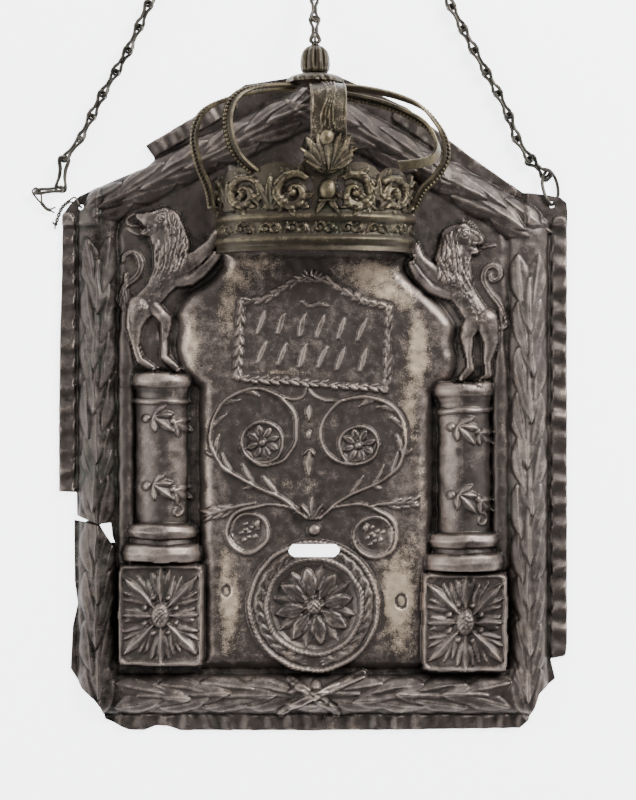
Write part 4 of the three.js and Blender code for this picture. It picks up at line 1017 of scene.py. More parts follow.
def medallion(r):
    """Two rope rings with laurel between them, round a flower with a cross-cut boss."""
    cx, cy = MEDALLION
    w = r.window(cx - 38, cy - 38, cx + 38, cy + 38)
    away = np.hypot(r.x[w] - cx, r.y[w] - cy)
    disc = FIELD_HEIGHT + 0.8 * smooth((MEDALLION_RADIUS - away) / 1.5)
    r.h[w] = np.where(away < MEDALLION_RADIUS, np.maximum(r.h[w], disc), r.h[w])
    r.settle()
    r.rope(arc(cx, cy, 35.2, 35.2, 0, 360, 90), 3.0, 1.9, 2.7)
    r.rope(arc(cx, cy, 26.2, 26.2, 0, 360, 80), 2.5, 1.6, 2.5, slant=-1.0)
    r.settle()
    for i in range(13):
        for side in (-1, 1):
            start = -90 + side * (i * 12.6 + 8)
            a = math.radians(start)
            turn = a + side * math.pi / 2
            for shift, swing, size in ((-2.2, -0.3, 0.8), (2.0, 0.3, 0.8), (0, 0, 1.0)):
                x, y = cx + (30.1 + shift) * math.cos(a), cy + (30.1 + shift) * math.sin(a)
                r.leaf(x, y, turn + side * swing, 9.0 * size, 3.8 * size, 1.0, 0.0, 0.1, 0.5, 0.8)
    bowl = r.window(cx - 26, cy - 26, cx + 26, cy + 26)
    away = np.hypot(r.x[bowl] - cx, r.y[bowl] - cy)
    r.press(bowl, 1.2 * smooth((24.0 - away) / 3) * (away > 4))
    r.settle()
    for i in range(8):
        angle = math.tau * (i + 0.5) / 8 + 0.2
        r.leaf(cx + 8 * math.cos(angle), cy + 8 * math.sin(angle), angle, 14.6, 5.4, 1.2, 0.0, 0.1, 0.4, 0.9)
    r.settle()
    for i in range(8):
        angle = math.tau * i / 8 + 0.2
        r.leaf(cx + 4 * math.cos(angle), cy + 4 * math.sin(angle), angle, 17.4, 8.0, 2.0, 0.5, 0.35, 0.3, 0.5)
    r.settle()
    r.bead(cx, cy, 5.4, 5.4, 3.0)
    r.settle()
    w = r.window(cx - 6, cy - 6, cx + 6, cy + 6)
    dx, dy = r.x[w] - cx, r.y[w] - cy
    grid = np.maximum(np.cos((dx + dy) * 2.3), np.cos((dx - dy) * 2.3))
    r.press(w, np.where(np.hypot(dx, dy) < 4.8, 0.55 * (grid > 0.8), 0))


def ribbons(r):
    """Crossed ribbons over the bottom garland."""
    r.settle()
    r.stroke(curve([(-12.1, 25.0), (-4, 19), (9.4, 9.6), (13, 6)], 14), 4.6, 1.7, power=5, groove=0.2)
    r.stroke(
        curve([(-17.1, 6.0), (-8, 12), (9.4, 19.8), (22.6, 25.4), (27.0, 27.2)], 18), 4.6, 2.0, power=5,
        groove=0.2,
    )
    r.bead(1.7, 22.0, 2.8, 2.8, 3.0)


def border(r):
    """The flat rims, the plain mouldings and the garlands."""
    x = HALF_WIDTH - RIM_WIDTH / 2
    rim(r, (x, 38), (x, 274), 3)
    rim(r, (-x, 127), (-x, 276), 4)
    rim(r, (-115, BOTTOM_Y + RIM_WIDTH / 2 + 0.2), (116, BOTTOM_Y + RIM_WIDTH / 2 + 0.2), 5)
    rim(r, (48.0, 333.5), (108, 291.5), 6)
    rim(r, (-93.5, 311.5), (-47.0, 339.0), 7)
    for side in (-1, 1):
        top = 246 if side < 0 else 226
        r.stroke([(side * MOULDING_X, 88), (side * MOULDING_X, top)], 10.2, 4.2, taper=(1.0, 0.3), power=2.4)
    roll_x = HALF_WIDTH - ROLL_INSET
    bottom = BOTTOM_Y + 20.0
    garland(r, (0.6, APEX_Y - 15.0), (-roll_x + 4, SHOULDER_Y - 2), 11)
    garland(r, (0.6, APEX_Y - 15.0), (roll_x - 4, SHOULDER_Y - 12), 12)
    garland(r, (-roll_x, bottom), (0.6, bottom), 15, 2.0)
    garland(r, (roll_x, bottom), (0.6, bottom), 16, 2.0)
    garland(r, (-roll_x, SHOULDER_Y - 8), (-roll_x, bottom), 13, 0.0)
    garland(r, (roll_x, SHOULDER_Y - 18), (roll_x, bottom), 14, 0.0)


FIELD_EDGE = [
    (-62, 30), (-62.5, 110), (-63, 183), (-71, 192), (-75.5, 204), (-74, 216), (-75.5, 226), (-69, 236),
    (-58, 243), (-50, 251), (-47, 262), (48, 260), (51, 248), (60, 240), (70, 231), (78.5, 220), (77.5, 210),
    (79.5, 200), (76, 189), (66, 181), (66, 110), (65, 30),
]


def field(r):
    """The smooth cushion in the middle, wider between the lions."""
    w = r.window(-90, 20, 90, 275)
    edge = [*FIELD_EDGE[:2], *curve(FIELD_EDGE[2:-2], 90), *FIELD_EDGE[-2:]]
    away, _, _ = outline_distance(r.x[w], r.y[w], [edge])
    inset = np.clip(-away / 8.5, 0, 1)
    r.h[w] = np.maximum(r.h[w], SHEET + (FIELD_HEIGHT - SHEET) * np.sin(inset * np.pi / 2) ** 0.9)


PLATE_PITCH = 0.66
LION_GROUND = [
    (110, 190), (110, 268), (104, 292), (66, 314), (40, 320), (40, 262), (70, 232), (80, 216), (74, 190),
]


def emboss():
    """The plate's front as one height field."""
    r = Relief(-141.0, -6.0, 141.0, 357.0, PLATE_PITCH)
    r.h += SHEET
    r.wobble(0.35, 16, 21)
    r.settle()
    border(r)
    field(r)
    r.settle()
    cartouche(r)
    scrolls(r)
    medallion(r)
    for side, bottom, top in ((-1, 32.0, 88.0), (1, 29.0, 83.0)):
        r.ground = np.full_like(r.h, SHEET)
        pedestal(r, side, bottom, top)
        r.ground = np.full_like(r.h, SHEET)
        column(r, side, top + 1.0)
        r.settle()
        for lift in (76, 39):
            sprig(r, side * COLUMN_X + 1, top + lift, 0.95, 0.9 if side < 0 else 0.7)
        r.stroke(arc(side * COLUMN_X + 9, top + 29, 4.2, 1.2, 90, -220, 18), 1.5, 1.3)
    for side, low in ((-1, 190), (1, 184)):
        w = r.window(side * 76 - 40, low, side * 76 + 40, 322)
        away, _, _ = outline_distance(
            r.x[w], r.y[w], [[(side * x, y - 3 * (side + 1)) for x, y in LION_GROUND]]
        )
        r.h[w] = np.maximum(r.h[w], SHEET + 2.6 * smooth(-away / 7))
    for pose in (LION_LEFT, LION_RIGHT):
        r.settle()
        r.ground = np.minimum(r.ground, SHEET + 3.2)
        lion(r, pose, 41)
    ribbons(r)
    for x, y, size in ((-47.3, 72.9, 3.6), (48.4, 67.4, 4.2)):
        w = r.window(x - 6, y - 6, x + 6, y + 6)
        away = np.hypot((r.x[w] - x), (r.y[w] - y) * 0.8)
        r.press(w, 0.5 * smooth((size - away) / 1.2))
    r.h += 0.16 * ripple(r.gx, r.gy, 30, 51) + 0.1 * ripple(r.gx, r.gy, 9, 52)
    r.h = np.maximum(r.h, SHEET * 0.8)
    tabs = smooth((np.abs(r.gx) - 115.5) / 3) * smooth((r.gy - 271.5) / 3)
    tabs *= r.gy < 300
    r.lift = TAB_RISE * tabs
    r.h += r.lift
    return r


def holes():
    """The slot and the small holes; the tear is part of the outline."""
    x0, y0, x1, y1 = SLOT
    slot = [
        (x0 + 3, y0), (x1 - 3, y0), (x1, y0 + 2.4), (x1, y1 - 2.0), (x1 - 2.4, y1), (x0 + 2.4, y1),
        (x0, y1 - 2.4), (x0, y0 + 2),
    ]
    rounds = [(*RING_HOLE, 2.0), (*TIE_HOLE, 1.7), (-105.6, 184.5, 0.6), (-61.1, 196.1, 0.6)]
    return [slot] + [arc(x, y, radius, radius, 0, 330, 11) for x, y, radius in rounds]


SNAP = 0.72


def cut_grid(r, rings):
    """The field's grid snapped to its outlines, with the cells that are kept."""
    away, nx, ny = outline_distance(r.gx, r.gy, rings)
    near = np.abs(away) < r.pitch * SNAP
    x = np.where(near, nx, r.gx)
    y = np.where(near, ny, r.gy)
    solid = away < r.pitch * SNAP
    cells = solid[:-1, :-1] & solid[:-1, 1:] & solid[1:, :-1] & solid[1:, 1:]
    middle = (away[:-1, :-1] + away[:-1, 1:] + away[1:, :-1] + away[1:, 1:]) / 4
    return x, y, cells & (middle < 0)


def grid_quads(cells):
    """How many points a grid has, and the corners of its kept cells."""
    rows, cols = cells.shape[0] + 1, cells.shape[1] + 1
    index = np.arange(rows * cols).reshape(rows, cols)
    j, i = np.nonzero(cells)
    return rows * cols, np.stack([index[j, i], index[j, i + 1], index[j + 1, i + 1], index[j + 1, i]], axis=1)


def open_edges(count, quads):
    """The directed edges that only one kept cell has, and a key for each."""
    edges = np.vstack([quads[:, [k, (k + 1) % 4]] for k in range(4)])
    keys = edges[:, 0] * count + edges[:, 1]
    alone = ~np.isin(keys, edges[:, 1] * count + edges[:, 0])
    return edges[alone], keys[alone]


def grid_piece(name, x, y, z, cells, material, tones=None, normals=None, flip=False, skirt=None):
    """A mesh of the kept cells of a grid, with a skirt down to another height along open edges if asked."""
    count, quads = grid_quads(cells)
    points = np.stack([x.ravel(), y.ravel(), z.ravel()], axis=1)
    tone_rows = None if tones is None else tones.reshape(-1, 4)
    normal_rows = None if normals is None else normals.reshape(-1, 3)
    if skirt is not None:
        low, border_keys = skirt
        edges, keys = open_edges(count, quads)
        edges = edges[np.isin(keys, border_keys)]
        base = len(points)
        rim_points = np.unique(edges)
        lookup = {int(v): base + k for k, v in enumerate(rim_points)}
        lower = points[rim_points].copy()
        lower[:, 2] = low.ravel()[rim_points]
        points = np.vstack([points, lower])
        walls = np.array([[b, a, lookup[int(a)], lookup[int(b)]] for a, b in edges])
        if tone_rows is not None:
            tone_rows = np.vstack([tone_rows, tone_rows[rim_points]])
        if normal_rows is not None:
            normal_rows = np.vstack([normal_rows, normal_rows[rim_points]])
        if len(walls):
            quads = np.vstack([quads, walls])
    used = np.unique(quads)
    new = np.full(len(points), -1)
    new[used] = np.arange(len(used))
    quads = new[quads]
    if flip:
        quads = quads[:, ::-1]
    return make_mesh(
        name,
        points[used],
        quads,
        material,
        None if tone_rows is None else tone_rows[used],
        None if normal_rows is None else normal_rows[used],
    )


def warm_places(x, y):
    """Where hands have rubbed the field bright."""
    spots = [
        (-66, 210, 4, 14, 1.0), (-46, 226, 6, 24, 0.6), (-31, 252, 12, 6, 1.0), (30, 246, 17, 8, 1.0),
        (51, 234, 5, 9, 0.9), (57, 203, 6, 20, 1.0), (53, 172, 5, 16, 0.9), (-48, 86, 4, 12, 0.8),
        (-45.5, 62, 5.5, 24, 1.0), (53, 84, 6, 16, 0.7), (47.5, 70, 12, 32, 1.0), (-41, 246, 12, 9, 0.7),
        (40, 236, 12, 8, 0.8), (-20, 192, 16, 2.4, 0.7), (-12, 131, 14, 5, 0.35), (-57, 150, 3, 34, 0.5),
        (59, 128, 3, 20, 0.5),
    ]
    out, halo = np.zeros_like(x), np.zeros_like(x)
    for cx, cy, sx, sy, strength in spots:
        out = np.maximum(out, strength * np.exp(-((((x - cx) / sx) ** 2 + ((y - cy) / sy) ** 2))))
        halo = np.maximum(
            halo, strength * np.exp(-(((x - cx) / (sx + 5)) ** 2 + ((y - cy) / (sy + 10)) ** 2))
        )
    return np.clip(out * (0.9 + 0.35 * ripple(x, y, 26, 61)), 0, 1), halo


def build_plate():
    r = emboss()
    rings = [OUTLINE] + holes()
    x, y, cells = cut_grid(r, rings)
    z = r.h
    edge, broad = r.tone()
    on_field = smooth((z - 4.0) / 1.5) * (np.abs(x - 1.5) < 80) * (y > 29) * (y < 262)
    warm, halo = warm_places(x, y)
    warm = warm * on_field * smooth((edge - 0.36) / 0.12)
    # Painted shadow of the crown on the field: a band just under the crown's foot and a patch below its left
    # end.
    dark = np.exp(-(((x + 2) / 30) ** 2 + ((y - 257) / 5) ** 2))
    dark = dark + 0.7 * np.exp(-(((x + 46) / 12) ** 2 + ((y - 236) / 14) ** 2))
    # The left border, from x -132 to -100, is drawn darker.
    left = smooth((-100 - x) / 8) * smooth((x + 132) / 6)
    # Painted sheen on the field: all of it a little lighter, its right side more, most of all low down, and a
    # touch at the lower left.
    field_sheen = 0.24 + (0.36 + 0.36 * smooth((135 - y) / 25)) * smooth((x - 34) / 14)
    field_sheen = field_sheen + 0.12 * smooth((-40 - x) / 10) * (y < 120)
    broad = broad + (field_sheen + 0.5 * halo - 0.7 * dark) * on_field - 0.4 * left
    # Hollows are darkened less here, which softens their painted shade.
    edge = np.clip(np.where(edge < 0.5, 0.5 + 0.72 * (edge - 0.5), edge) - 0.3 * left, 0, 1)
    broad = np.clip(broad, 0, 1)
    tones = tone_layer(edge, broad, warm)
    gy, gx = np.gradient(z, r.pitch)
    normals = np.stack([-gx, -gy, np.ones_like(gx)], axis=-1)
    normals /= np.linalg.norm(normals, axis=-1, keepdims=True)
    _, border_keys = open_edges(*grid_quads(cells))
    low = np.maximum(r.lift, 0.0)
    cut_x = (-62.5, 66.0)
    cut_y = 176.0
    cx = (r.gx[:-1, :-1] + r.gx[1:, 1:]) / 2
    cy = (r.gy[:-1, :-1] + r.gy[1:, 1:]) / 2
    parts = {
        "plate_left": cells & (cx < cut_x[0]),
        "plate_field_low": cells & (cx >= cut_x[0]) & (cx < cut_x[1]) & (cy < cut_y),
        "plate_field_high": cells & (cx >= cut_x[0]) & (cx < cut_x[1]) & (cy >= cut_y),
        "plate_right": cells & (cx >= cut_x[1]),
    }
    made = []
    for name, part in parts.items():
        piece = grid_piece(name, x, y, z, part, finish("silver"), tones, normals, skirt=(low, border_keys))
        made.append(claim(piece, "silver", "plate"))
    made.append(build_back(r, rings))
    return made


BACK_STEP = 3
BACK_DEPTH = 1.3
LEAST_DEPTH = 0.9
FLAT_RIM = 7.5
RIM_EASE = 4


def build_back(r, rings):
    """The back of the sheet: a soft copy of the front, one thickness behind it."""
    step = BACK_STEP
    lowest = r.h.copy()
    for axis in (0, 1):
        for shift in range(-3, 4):
            lowest = np.minimum(lowest, np.roll(r.h, shift, axis=axis))
    soft = blur(lowest, 1.6, r.pitch)
    b = Relief(r.xs[0], r.ys[0], r.xs[-1], r.ys[-1], r.pitch * step)
    rows, cols = b.h.shape
    height = soft[::step, ::step][:rows, :cols]
    lift = r.lift[::step, ::step][:rows, :cols]
    rows, cols = height.shape
    b.gx, b.gy = b.gx[:rows, :cols], b.gy[:rows, :cols]
    x, y, cells = cut_grid(b, rings)
    away, _, _ = outline_distance(x, y, rings[:1])
    inner = smooth((-away - FLAT_RIM) / RIM_EASE)
    z = np.maximum(height - BACK_DEPTH, lift) * inner + lift * (1 - inner)
    z = np.maximum(np.minimum(z, np.maximum(height - LEAST_DEPTH, 0)), 0.0)
    b.h = z
    edge, broad = b.tone()
    # Seen from behind, ridges and hollows swap, so the wear, tarnish, painted highlights and painted shade
    # are turned over.
    tones = tone_layer(1 - edge, 0.55 - 0.4 * broad, 0)
    piece = grid_piece("plate_back", x, y, z, cells, finish("silver"), tones, flip=True)
    return claim(piece, "silver", "plate")


# The crown


def full(share):
    """A sine or cosine swollen, so that the plan is fuller than an oval."""
    return np.sign(share) * np.abs(share) ** 0.8


def crown_plan():
    """Length along the crown's plan and the direction there, from its left end to its right."""
    turn = np.linspace(-math.pi / 2 + 0.012, math.pi / 2 - 0.012, 721)
    x, z = CROWN_HALF * full(np.sin(turn)), CROWN_DEPTH * full(np.cos(turn))
    length = np.concatenate([[0], np.cumsum(np.hypot(np.diff(x), np.diff(z)))])
    return turn, length - length[-1] / 2


def wrap(s, y, lift):
    """Places on the crown for lengths along it, heights and rises out of it."""
    turn, length = crown_plan()
    a = np.interp(s, length, turn)
    x = (CROWN_HALF + lift) * full(np.sin(a))
    z = (CROWN_DEPTH + lift) * full(np.cos(a))
    return np.stack([CROWN_X + x, y, z], axis=-1)


def coronet_edge():
    """The coronet's upper edge: scrolls and a tall leaf in the middle."""
    _, length = crown_plan()
    end = length[-1]
    low, top = BAND_Y, CORONET_TOP
    half = [
        (0, top + 9), (6, top + 8), (10, top + 4), (13, top + 1), (17, top + 3.5), (24, top + 4),
        (31, top + 1.5), (35, top - 1), (40, top + 1.5), (47, top + 1.5), (53, top - 1), (57, top - 3),
        (62, top), (69, top + 0.5), (75, top - 2), (end, top - 6),
    ]
    right = [(s + 5.0 * max(0, 1 - s / 40), y) for s, y in half]
    left = [(-s + 5.0 * max(0, 1 - s / 40), y) for s, y in reversed(half[1:])]
    edge = curve(left + right, 120)
    edge[:, 0] = np.clip(edge[:, 0], -end + 0.3, end - 0.3)
    return [tuple(p) for p in edge] + [(end - 0.3, low), (-end + 0.3, low)]


BAND_LEVELS = [257.0, 257.8, 259.2, 260.6, 261.6, 263.2, 264.6, 265.4, 272.6, 273.4, 275.0, 276.6, 277.6]
BAND_RISES = [1.5, 1.7, 0.7, 0.8, 2.0, 2.4, 1.9, 0.2, 0.2, 1.5, 2.1, 1.4, 0.1]


def build_crown_band():
    """The crown's band and coronet, chased in relief and bent to the crown's plan."""
    _, length = crown_plan()
    end = length[-1]
    r = Relief(-end, BAND_Y - 1, end, CORONET_TOP + 14, 0.6)
    r.h = blur(np.interp(r.gy, BAND_LEVELS, BAND_RISES), 0.4, 0.6)
    r.wobble(0.25, 12, 71)
    r.settle()
    rng = np.random.default_rng(72)
    for k in range(30):
        s = -end + 4 + k * (2 * end - 8) / 29
        mid = 269.0
        if k % 3 == 0:
            r.stroke(arc(s, mid, 2.7, 1.0, 30, 330, 14), 1.2, 1.1)
            r.bead(s, mid, 0.8, 0.8, 1.0)
        elif k % 3 == 1:
            r.stroke(arc(s, mid, 2.0, 2.4, 0, 330 + rng.uniform(-30, 30), 14), 1.1, 1.0)
        else:
            for side in (-1, 1):
                r.leaf(s + side * 1.3, mid - 2.9, math.pi / 2 - side * 0.25, 5.8, 2.0, 0.9, rib=0.3)
    middle = 6.6
    for side in (-1, 1):
        for place, size in ((16.6, 1.0), (42, 0.88), (66, 0.8)):
            s = middle * max(0, 1 - place / 70) + side * place
            y0 = BAND_TOP + 9.5
            line = arc(s, y0 + 2.0, 10.8 * size, 2.4, 90 + side * 50, 90 - side * 410, 48)
            r.stroke(line, 5.2 * size, 2.0, taper=(0.7, 0.45), groove=0.35)
            r.settle()
            r.stroke(line, 1.0, 0.7, taper=(0.7, 0.6))
            for k in range(2, 34, 4):
                p, q = line[k], line[k + 1]
                turn = math.atan2(q[1] - p[1], q[0] - p[0])
                r.leaf(p[0], p[1], turn + side * 0.9, 7.0 * size, 3.6 * size, 1.2, rib=0.4)
            r.bead(s, y0 + 2.0, 2.3, 2.3, 2.4)
            for bend in (-0.9, -0.45, 0.0, 0.45, 0.9):
                r.leaf(
                    s + side * 12.5 * size, BAND_TOP + 2.5, math.pi / 2 + bend, 19 * size, 5.0, 1.7, rib=0.5
                )
    for bend in (-0.7, -0.35, 0.35, 0.7, 0.0):
        r.leaf(
            middle, CORONET_TOP - 3, math.pi / 2 + bend, 15 if bend == 0 else 12.5, 6.0, 2.6, rib=0.5,
            round_tip=0.3,
        )
    r.bead(middle + 1.4, CORONET_TOP + 5.6, 4.0, 4.0, 3.4)
    r.bead(middle, BAND_TOP + 13, 4.4, 5.6, 3.6)
    for bend in (-0.55, 0.55):
        r.leaf(middle, BAND_TOP + 10, -math.pi / 2 + bend, 12, 3.4, 2.0, rib=0.3)
    r.stroke([(middle - 4, BAND_TOP + 7.6), (middle + 4, BAND_TOP + 7.6)], 1.6, 2.6)
    rings = [coronet_edge()]
    for side in (-1, 1):
        for s, y0, rx, ry in (
            (8.5, 16.0, 2.2, 3.6), (8.0, 6.0, 1.5, 2.2), (31.0, 6.0, 1.5, 2.4), (54.5, 6.0, 1.4, 2.2)
        ):
            s = middle * max(0, 1 - s / 50) + side * s
            t = np.linspace(0, math.tau, 14, endpoint=False)
            rings.append([(s + rx * math.cos(a), BAND_TOP + y0 + ry * math.sin(a)) for a in t])
    gx, gy, cells = cut_grid(r, rings)
    edge, broad = r.tone()
    tones = tone_layer(edge, broad, 0)
    front = wrap(gx, gy, r.h)
    back = wrap(gx, gy, -1.3 + 0.35 * blur(r.h, 1.5, 0.6))
    return crown_shell("crown_band_chased", "crown_band", front, back, cells, tones)


# The inner side of the crown sheet has its ridge and height tone scaled by 0.7 and no rubbed metal, so it is
# drawn darker.
INSIDE_TONE = (0.7, 0.7, 0, 1)


def crown_shell(name, node_name, front, back, cells, tones):
    """A closed piece of crown sheet from a front and a back grid of points."""
    count, quads = grid_quads(cells)
    _, keys = open_edges(count, quads)
    used = np.unique(quads)
    new = np.full(count, -1)
    new[used] = np.arange(len(used))
    quads = new[quads]
    a, b = new[keys // count], new[keys % count]
    n = len(used)
    walls = np.stack([b, a, a + n, b + n], axis=1)
    points = np.vstack([front.reshape(-1, 3)[used], back.reshape(-1, 3)[used]])
    faces = np.vstack([quads, quads[:, ::-1] + n, walls])
    rows = tones.reshape(-1, 4)[used]
    rows = np.vstack([rows, rows * INSIDE_TONE])
    return claim(make_mesh(name, points, faces, finish("crown_silver"), rows), "crown_silver", node_name)


ARCHES = {
    "arch_left_outer": (
        [
            (-54.5, 281.7, 15), (-56.4, 292, 16), (-61.5, 305, 17.5), (-64, 318, 19), (-62, 328, 20),
            (-56, 335, 20.5), (-42, 340.5, 21), (-25, 343.6, 21.5), (-9, 344.4, 22),
        ],
        (0.6, 0.0, 0.8),
    ),
    "arch_left_inner": (
        [
            (-30.5, 299, 33), (-39.5, 307, 37), (-44, 317, 40), (-45, 328, 40.5), (-42, 337, 38),
            (-35, 342.6, 34), (-22, 345.4, 30), (-7.5, 345.8, 26),
        ],
        (0.88, 0.0, 0.46),
    ),
    "arch_right_inner": (
        [
            (46, 302.4, 32), (57, 303.6, 33), (64.6, 306.6, 32), (67.0, 314, 31), (61.5, 324, 29),
            (51, 331, 27), (38, 336.5, 25.5), (24, 340, 24), (11, 342.6, 23),
        ],
        (-0.3, 0.55, 0.78),
    ),
    "arch_right_outer": (
        [
            (54, 281, 14), (59, 291, 16), (66, 298, 17.5), (71.4, 307, 18.5), (71.6, 316, 19),
            (67.5, 325, 19.5), (58.5, 335, 20), (45, 341, 20.5), (28, 344.6, 21), (11, 346, 21.5),
        ],
        (-0.5, 0.3, 0.81),
    ),
}
FRONT_STRAP = [
    (8.4, 299, 41.4), (8.4, 305, 43.8), (8.4, 314, 45.4), (8.4, 325, 47.2), (8.4, 335, 46.8),
    (8.2, 341.5, 43.8), (7.6, 345, 38), (6.8, 346.0, 31),
]


def strap_parts(route, across, width, thick, steps, rims=0.9):
    """A flat strip with a raised rim along each edge."""
    line = curve(route, steps)
    half, t = width / 2, thick / 2
    section = [
        (t + 0.15, -half + 1.9), (t + rims * 0.7, -half + 1.2), (t + rims, -half + 0.6), (t * 0.5, -half),
        (-t, -half + 0.3), (-t, half - 0.3), (t * 0.5, half), (t + rims, half - 0.6),
        (t + rims * 0.7, half - 1.2), (t + 0.15, half - 1.9), (t, 0),
    ]
    return line, tube_parts(line, section, across)


def build_arches():
    """The four narrow straps, each with a row of beads along its outer edge."""
    made = []
    bead = in_mm("bead_radius")
    for name, (route, across) in ARCHES.items():
        line = curve(route, 64)
        across = np.array(across)
        _, _, face, _ = frames(line, across)
        if face[:, 2].mean() < 0:
            across = -across
        line, strip = strap_parts(route, across, 6.6, 0.9, 64)
        _, _, face, wide = frames(line, across)
        length = lengths(line)
        outer = np.sign(wide[20] @ (line[20] - (CROWN_X, 310, CAP_Z)))
        rows = line + wide * outer * 1.3 + face * 0.8
        count = int(length[-1] / in_mm("bead_pitch"))
        parts = [strip]
        for k in range(1, count):
            parts.append(ball_parts(read_at(k * length[-1] / count, length, rows), bead))
        made.append(plain_piece(name + "_beaded", parts, "crown_silver", name))
    return made


def build_front_strap():
    """The wide front strap with chased flowing lines, and the leaves and ball at its foot."""
    line = curve(FRONT_STRAP, 80)
    _, _, side, up = frames(line, (1, 0, 0))
    length = lengths(line)
    end, half = length[-1], 9.6
    r = Relief(0, -16, end, 16, 0.45)
    r.wobble(0.25, 10, 81)
    for y0 in (-half + 0.7, half - 0.7):
        r.stroke([(12, y0), (end, y0)], 1.2, 0.5)
    for y0 in (-3.4, -1.2, 1.0, 3.2):
        points = [
            (end - 1, y0 * 1.3), (end * 0.72, y0 * 0.5 + 1.4), (end * 0.5, y0 * 0.9 - 0.8), (end * 0.36, y0)
        ]
        r.stroke(curve(points, 24), 1.3, 0.8, taper=(0.5, 0.5))
    r.settle()
    for out in (-1, 1):
        for turn, long, wide in ((0.25, 20, 5.0), (0.55, 20, 5.4), (0.9, 18, 5.0), (1.25, 14, 4.2)):
            r.leaf(1, out * 1.2, out * turn, long, wide, 2.0, 0.0, 0.4, 0.5, 0.8)
    r.leaf(1, 0, 0, 17, 6.0, 2.4, 0.0, 0.3, 0.5, 0.8)
    r.bead(17.5, -1.0, 4.4, 4.4, 3.9)
    r.stroke(arc(17.5, -1.0, 5.0, 5.0, 90, 270, 14), 1.2, 1.6)
    foot = [
        (0, 4), (3, 9), (6.5, 13.5), (10, 12.6), (11.5, 15.2), (17, 12.8), (19.5, 11.6), (19, 9.6), (end, 9.6)
    ]
    ring = [(0, -4)] + [(a, -b) for a, b in foot[1:]] + foot[::-1]
    gx, gy, cells = cut_grid(r, [ring])
    edge, broad = r.tone()
    tones = tone_layer(edge, broad, 0.2)
    spot, out, wide = (read_at(gx, length, values) for values in (line, side, up))
    if side[40, 2] < 0:
        out = -out
    if up[40, 0] < 0:
        wide = -wide
    bend = 0.9 * (1 - np.minimum(np.abs(gy) / half, 1.3) ** 2)
    front = spot + wide * gy[..., None] + out * (r.h + bend)[..., None]
    back = spot + wide * gy[..., None] + out * (bend - 0.9 + 0.4 * blur(r.h, 1.2, 0.45))[..., None]
    return crown_shell("arch_front_chased", "arch_front", front, back, cells, tones)


def lathe_parts(profile, centre, sides, wave=None):
    """Points and faces of a profile of (radius, height) turned about an upright Y axis."""
    a = np.linspace(0, math.tau, sides, endpoint=False)
    verts = []
    for k, (radius, y) in enumerate(profile):
        reach = radius * (np.ones(sides) if wave is None else wave(a, k / (len(profile) - 1)))
        verts.append(
            np.stack(
                [centre[0] + reach * np.sin(a), np.full(sides, y), centre[1] + reach * np.cos(a)], axis=1
            )
        )
    faces = []
    for k in range(len(profile) - 1):
        for i in range(sides):
            j = (i + 1) % sides
            faces.append((k * sides + i, k * sides + j, (k + 1) * sides + j, (k + 1) * sides + i))
    faces.append(tuple(range(sides))[::-1])
    faces.append(tuple(range((len(profile) - 1) * sides, len(profile) * sides)))
    return np.vstack(verts), faces


def build_cap():
    """The domed cap with its ruffled, veined edge."""
    y = CAP_Y
    t = np.linspace(0, 1, 16)
    dome = [
        (CAP_RADIUS * math.cos(s * math.pi / 2) ** 0.8, y + 1.2 + 4.6 * math.sin(s * math.pi / 2))
        for s in t[:-1]
    ]
    profile = [(0.5, y + 0.4), (CAP_RADIUS - 1.5, y + 0.2), (CAP_RADIUS, y + 0.5), *dome, (0.5, y + 5.8)]

    def leafy(a, f):
        edge = max(0.0, 1 - abs(f - 0.25) * 2.2)
        ruffle = 0.05 * np.abs(np.sin(a * 8.5)) - 0.05 + 0.02 * np.sin(a * 9 + 2)
        return 1 + edge * ruffle + 0.03 * np.sin(a * 23 + f * 9) * (1 - f)

    dome_parts = lathe_parts(profile, (CROWN_X, CAP_Z), 140, leafy)
    return plain_piece("crown_cap_leafy", [dome_parts], "crown_silver", "crown_cap")


def build_finial():
    """The lobed bud, its collar and its loop."""
    y, h, reach = FINIAL_Y, FINIAL_HEIGHT, FINIAL_RADIUS
    f = np.linspace(0, 1, 26)
    radius = reach * np.interp(
        f, [0, 0.08, 0.3, 0.6, 0.8, 0.93, 1.0], [0.8, 0.93, 1.0, 0.95, 0.84, 0.62, 0.34]
    )
    profile = list(zip(radius, y + f * h))

    def lobes(a, g):
        deep = 0.17 * np.abs(np.cos(a * 4.5)) ** 5 * min(1, 3 * g + 0.2)
        return 1.0 - deep - 0.03 * np.abs(np.cos(a * 13.5)) ** 3

    loop_y = y + h + LOOP_RADIUS * 0.8
    t = np.linspace(0, math.tau, 28, endpoint=False)
    loop = [(CROWN_X, loop_y + LOOP_RADIUS * math.cos(a), CAP_Z + LOOP_RADIUS * math.sin(a)) for a in t]
    collar = [(2.0, y + h - 0.5), (2.4, y + h + 0.3), (1.6, y + h + 1.2), (0.6, y + h + 1.4)]
    parts = [
        lathe_parts(profile, (CROWN_X, CAP_Z), 144, lobes),
        tube_parts(loop, ring_section(WIRE, 8), (1, 0, 0), True),
        lathe_parts(collar, (CROWN_X, CAP_Z), 24),
    ]
    return plain_piece("finial_lobed", parts, "crown_silver", "finial")


# The chains


def folded_link(start, end, turn, eye=2.7, waist=1.15):
    """A link of wire folded double: two loops that lie almost on each other."""
    a, b = np.asarray(start, float), np.asarray(end, float)
    wire = in_mm("link_wire")
    return [
        link_parts(a, b, turn, eye, waist, wire),
        link_parts(a, a * 0.12 + b * 0.88, turn * 0.6, eye * 0.8, waist * 0.7, wire),
    ]


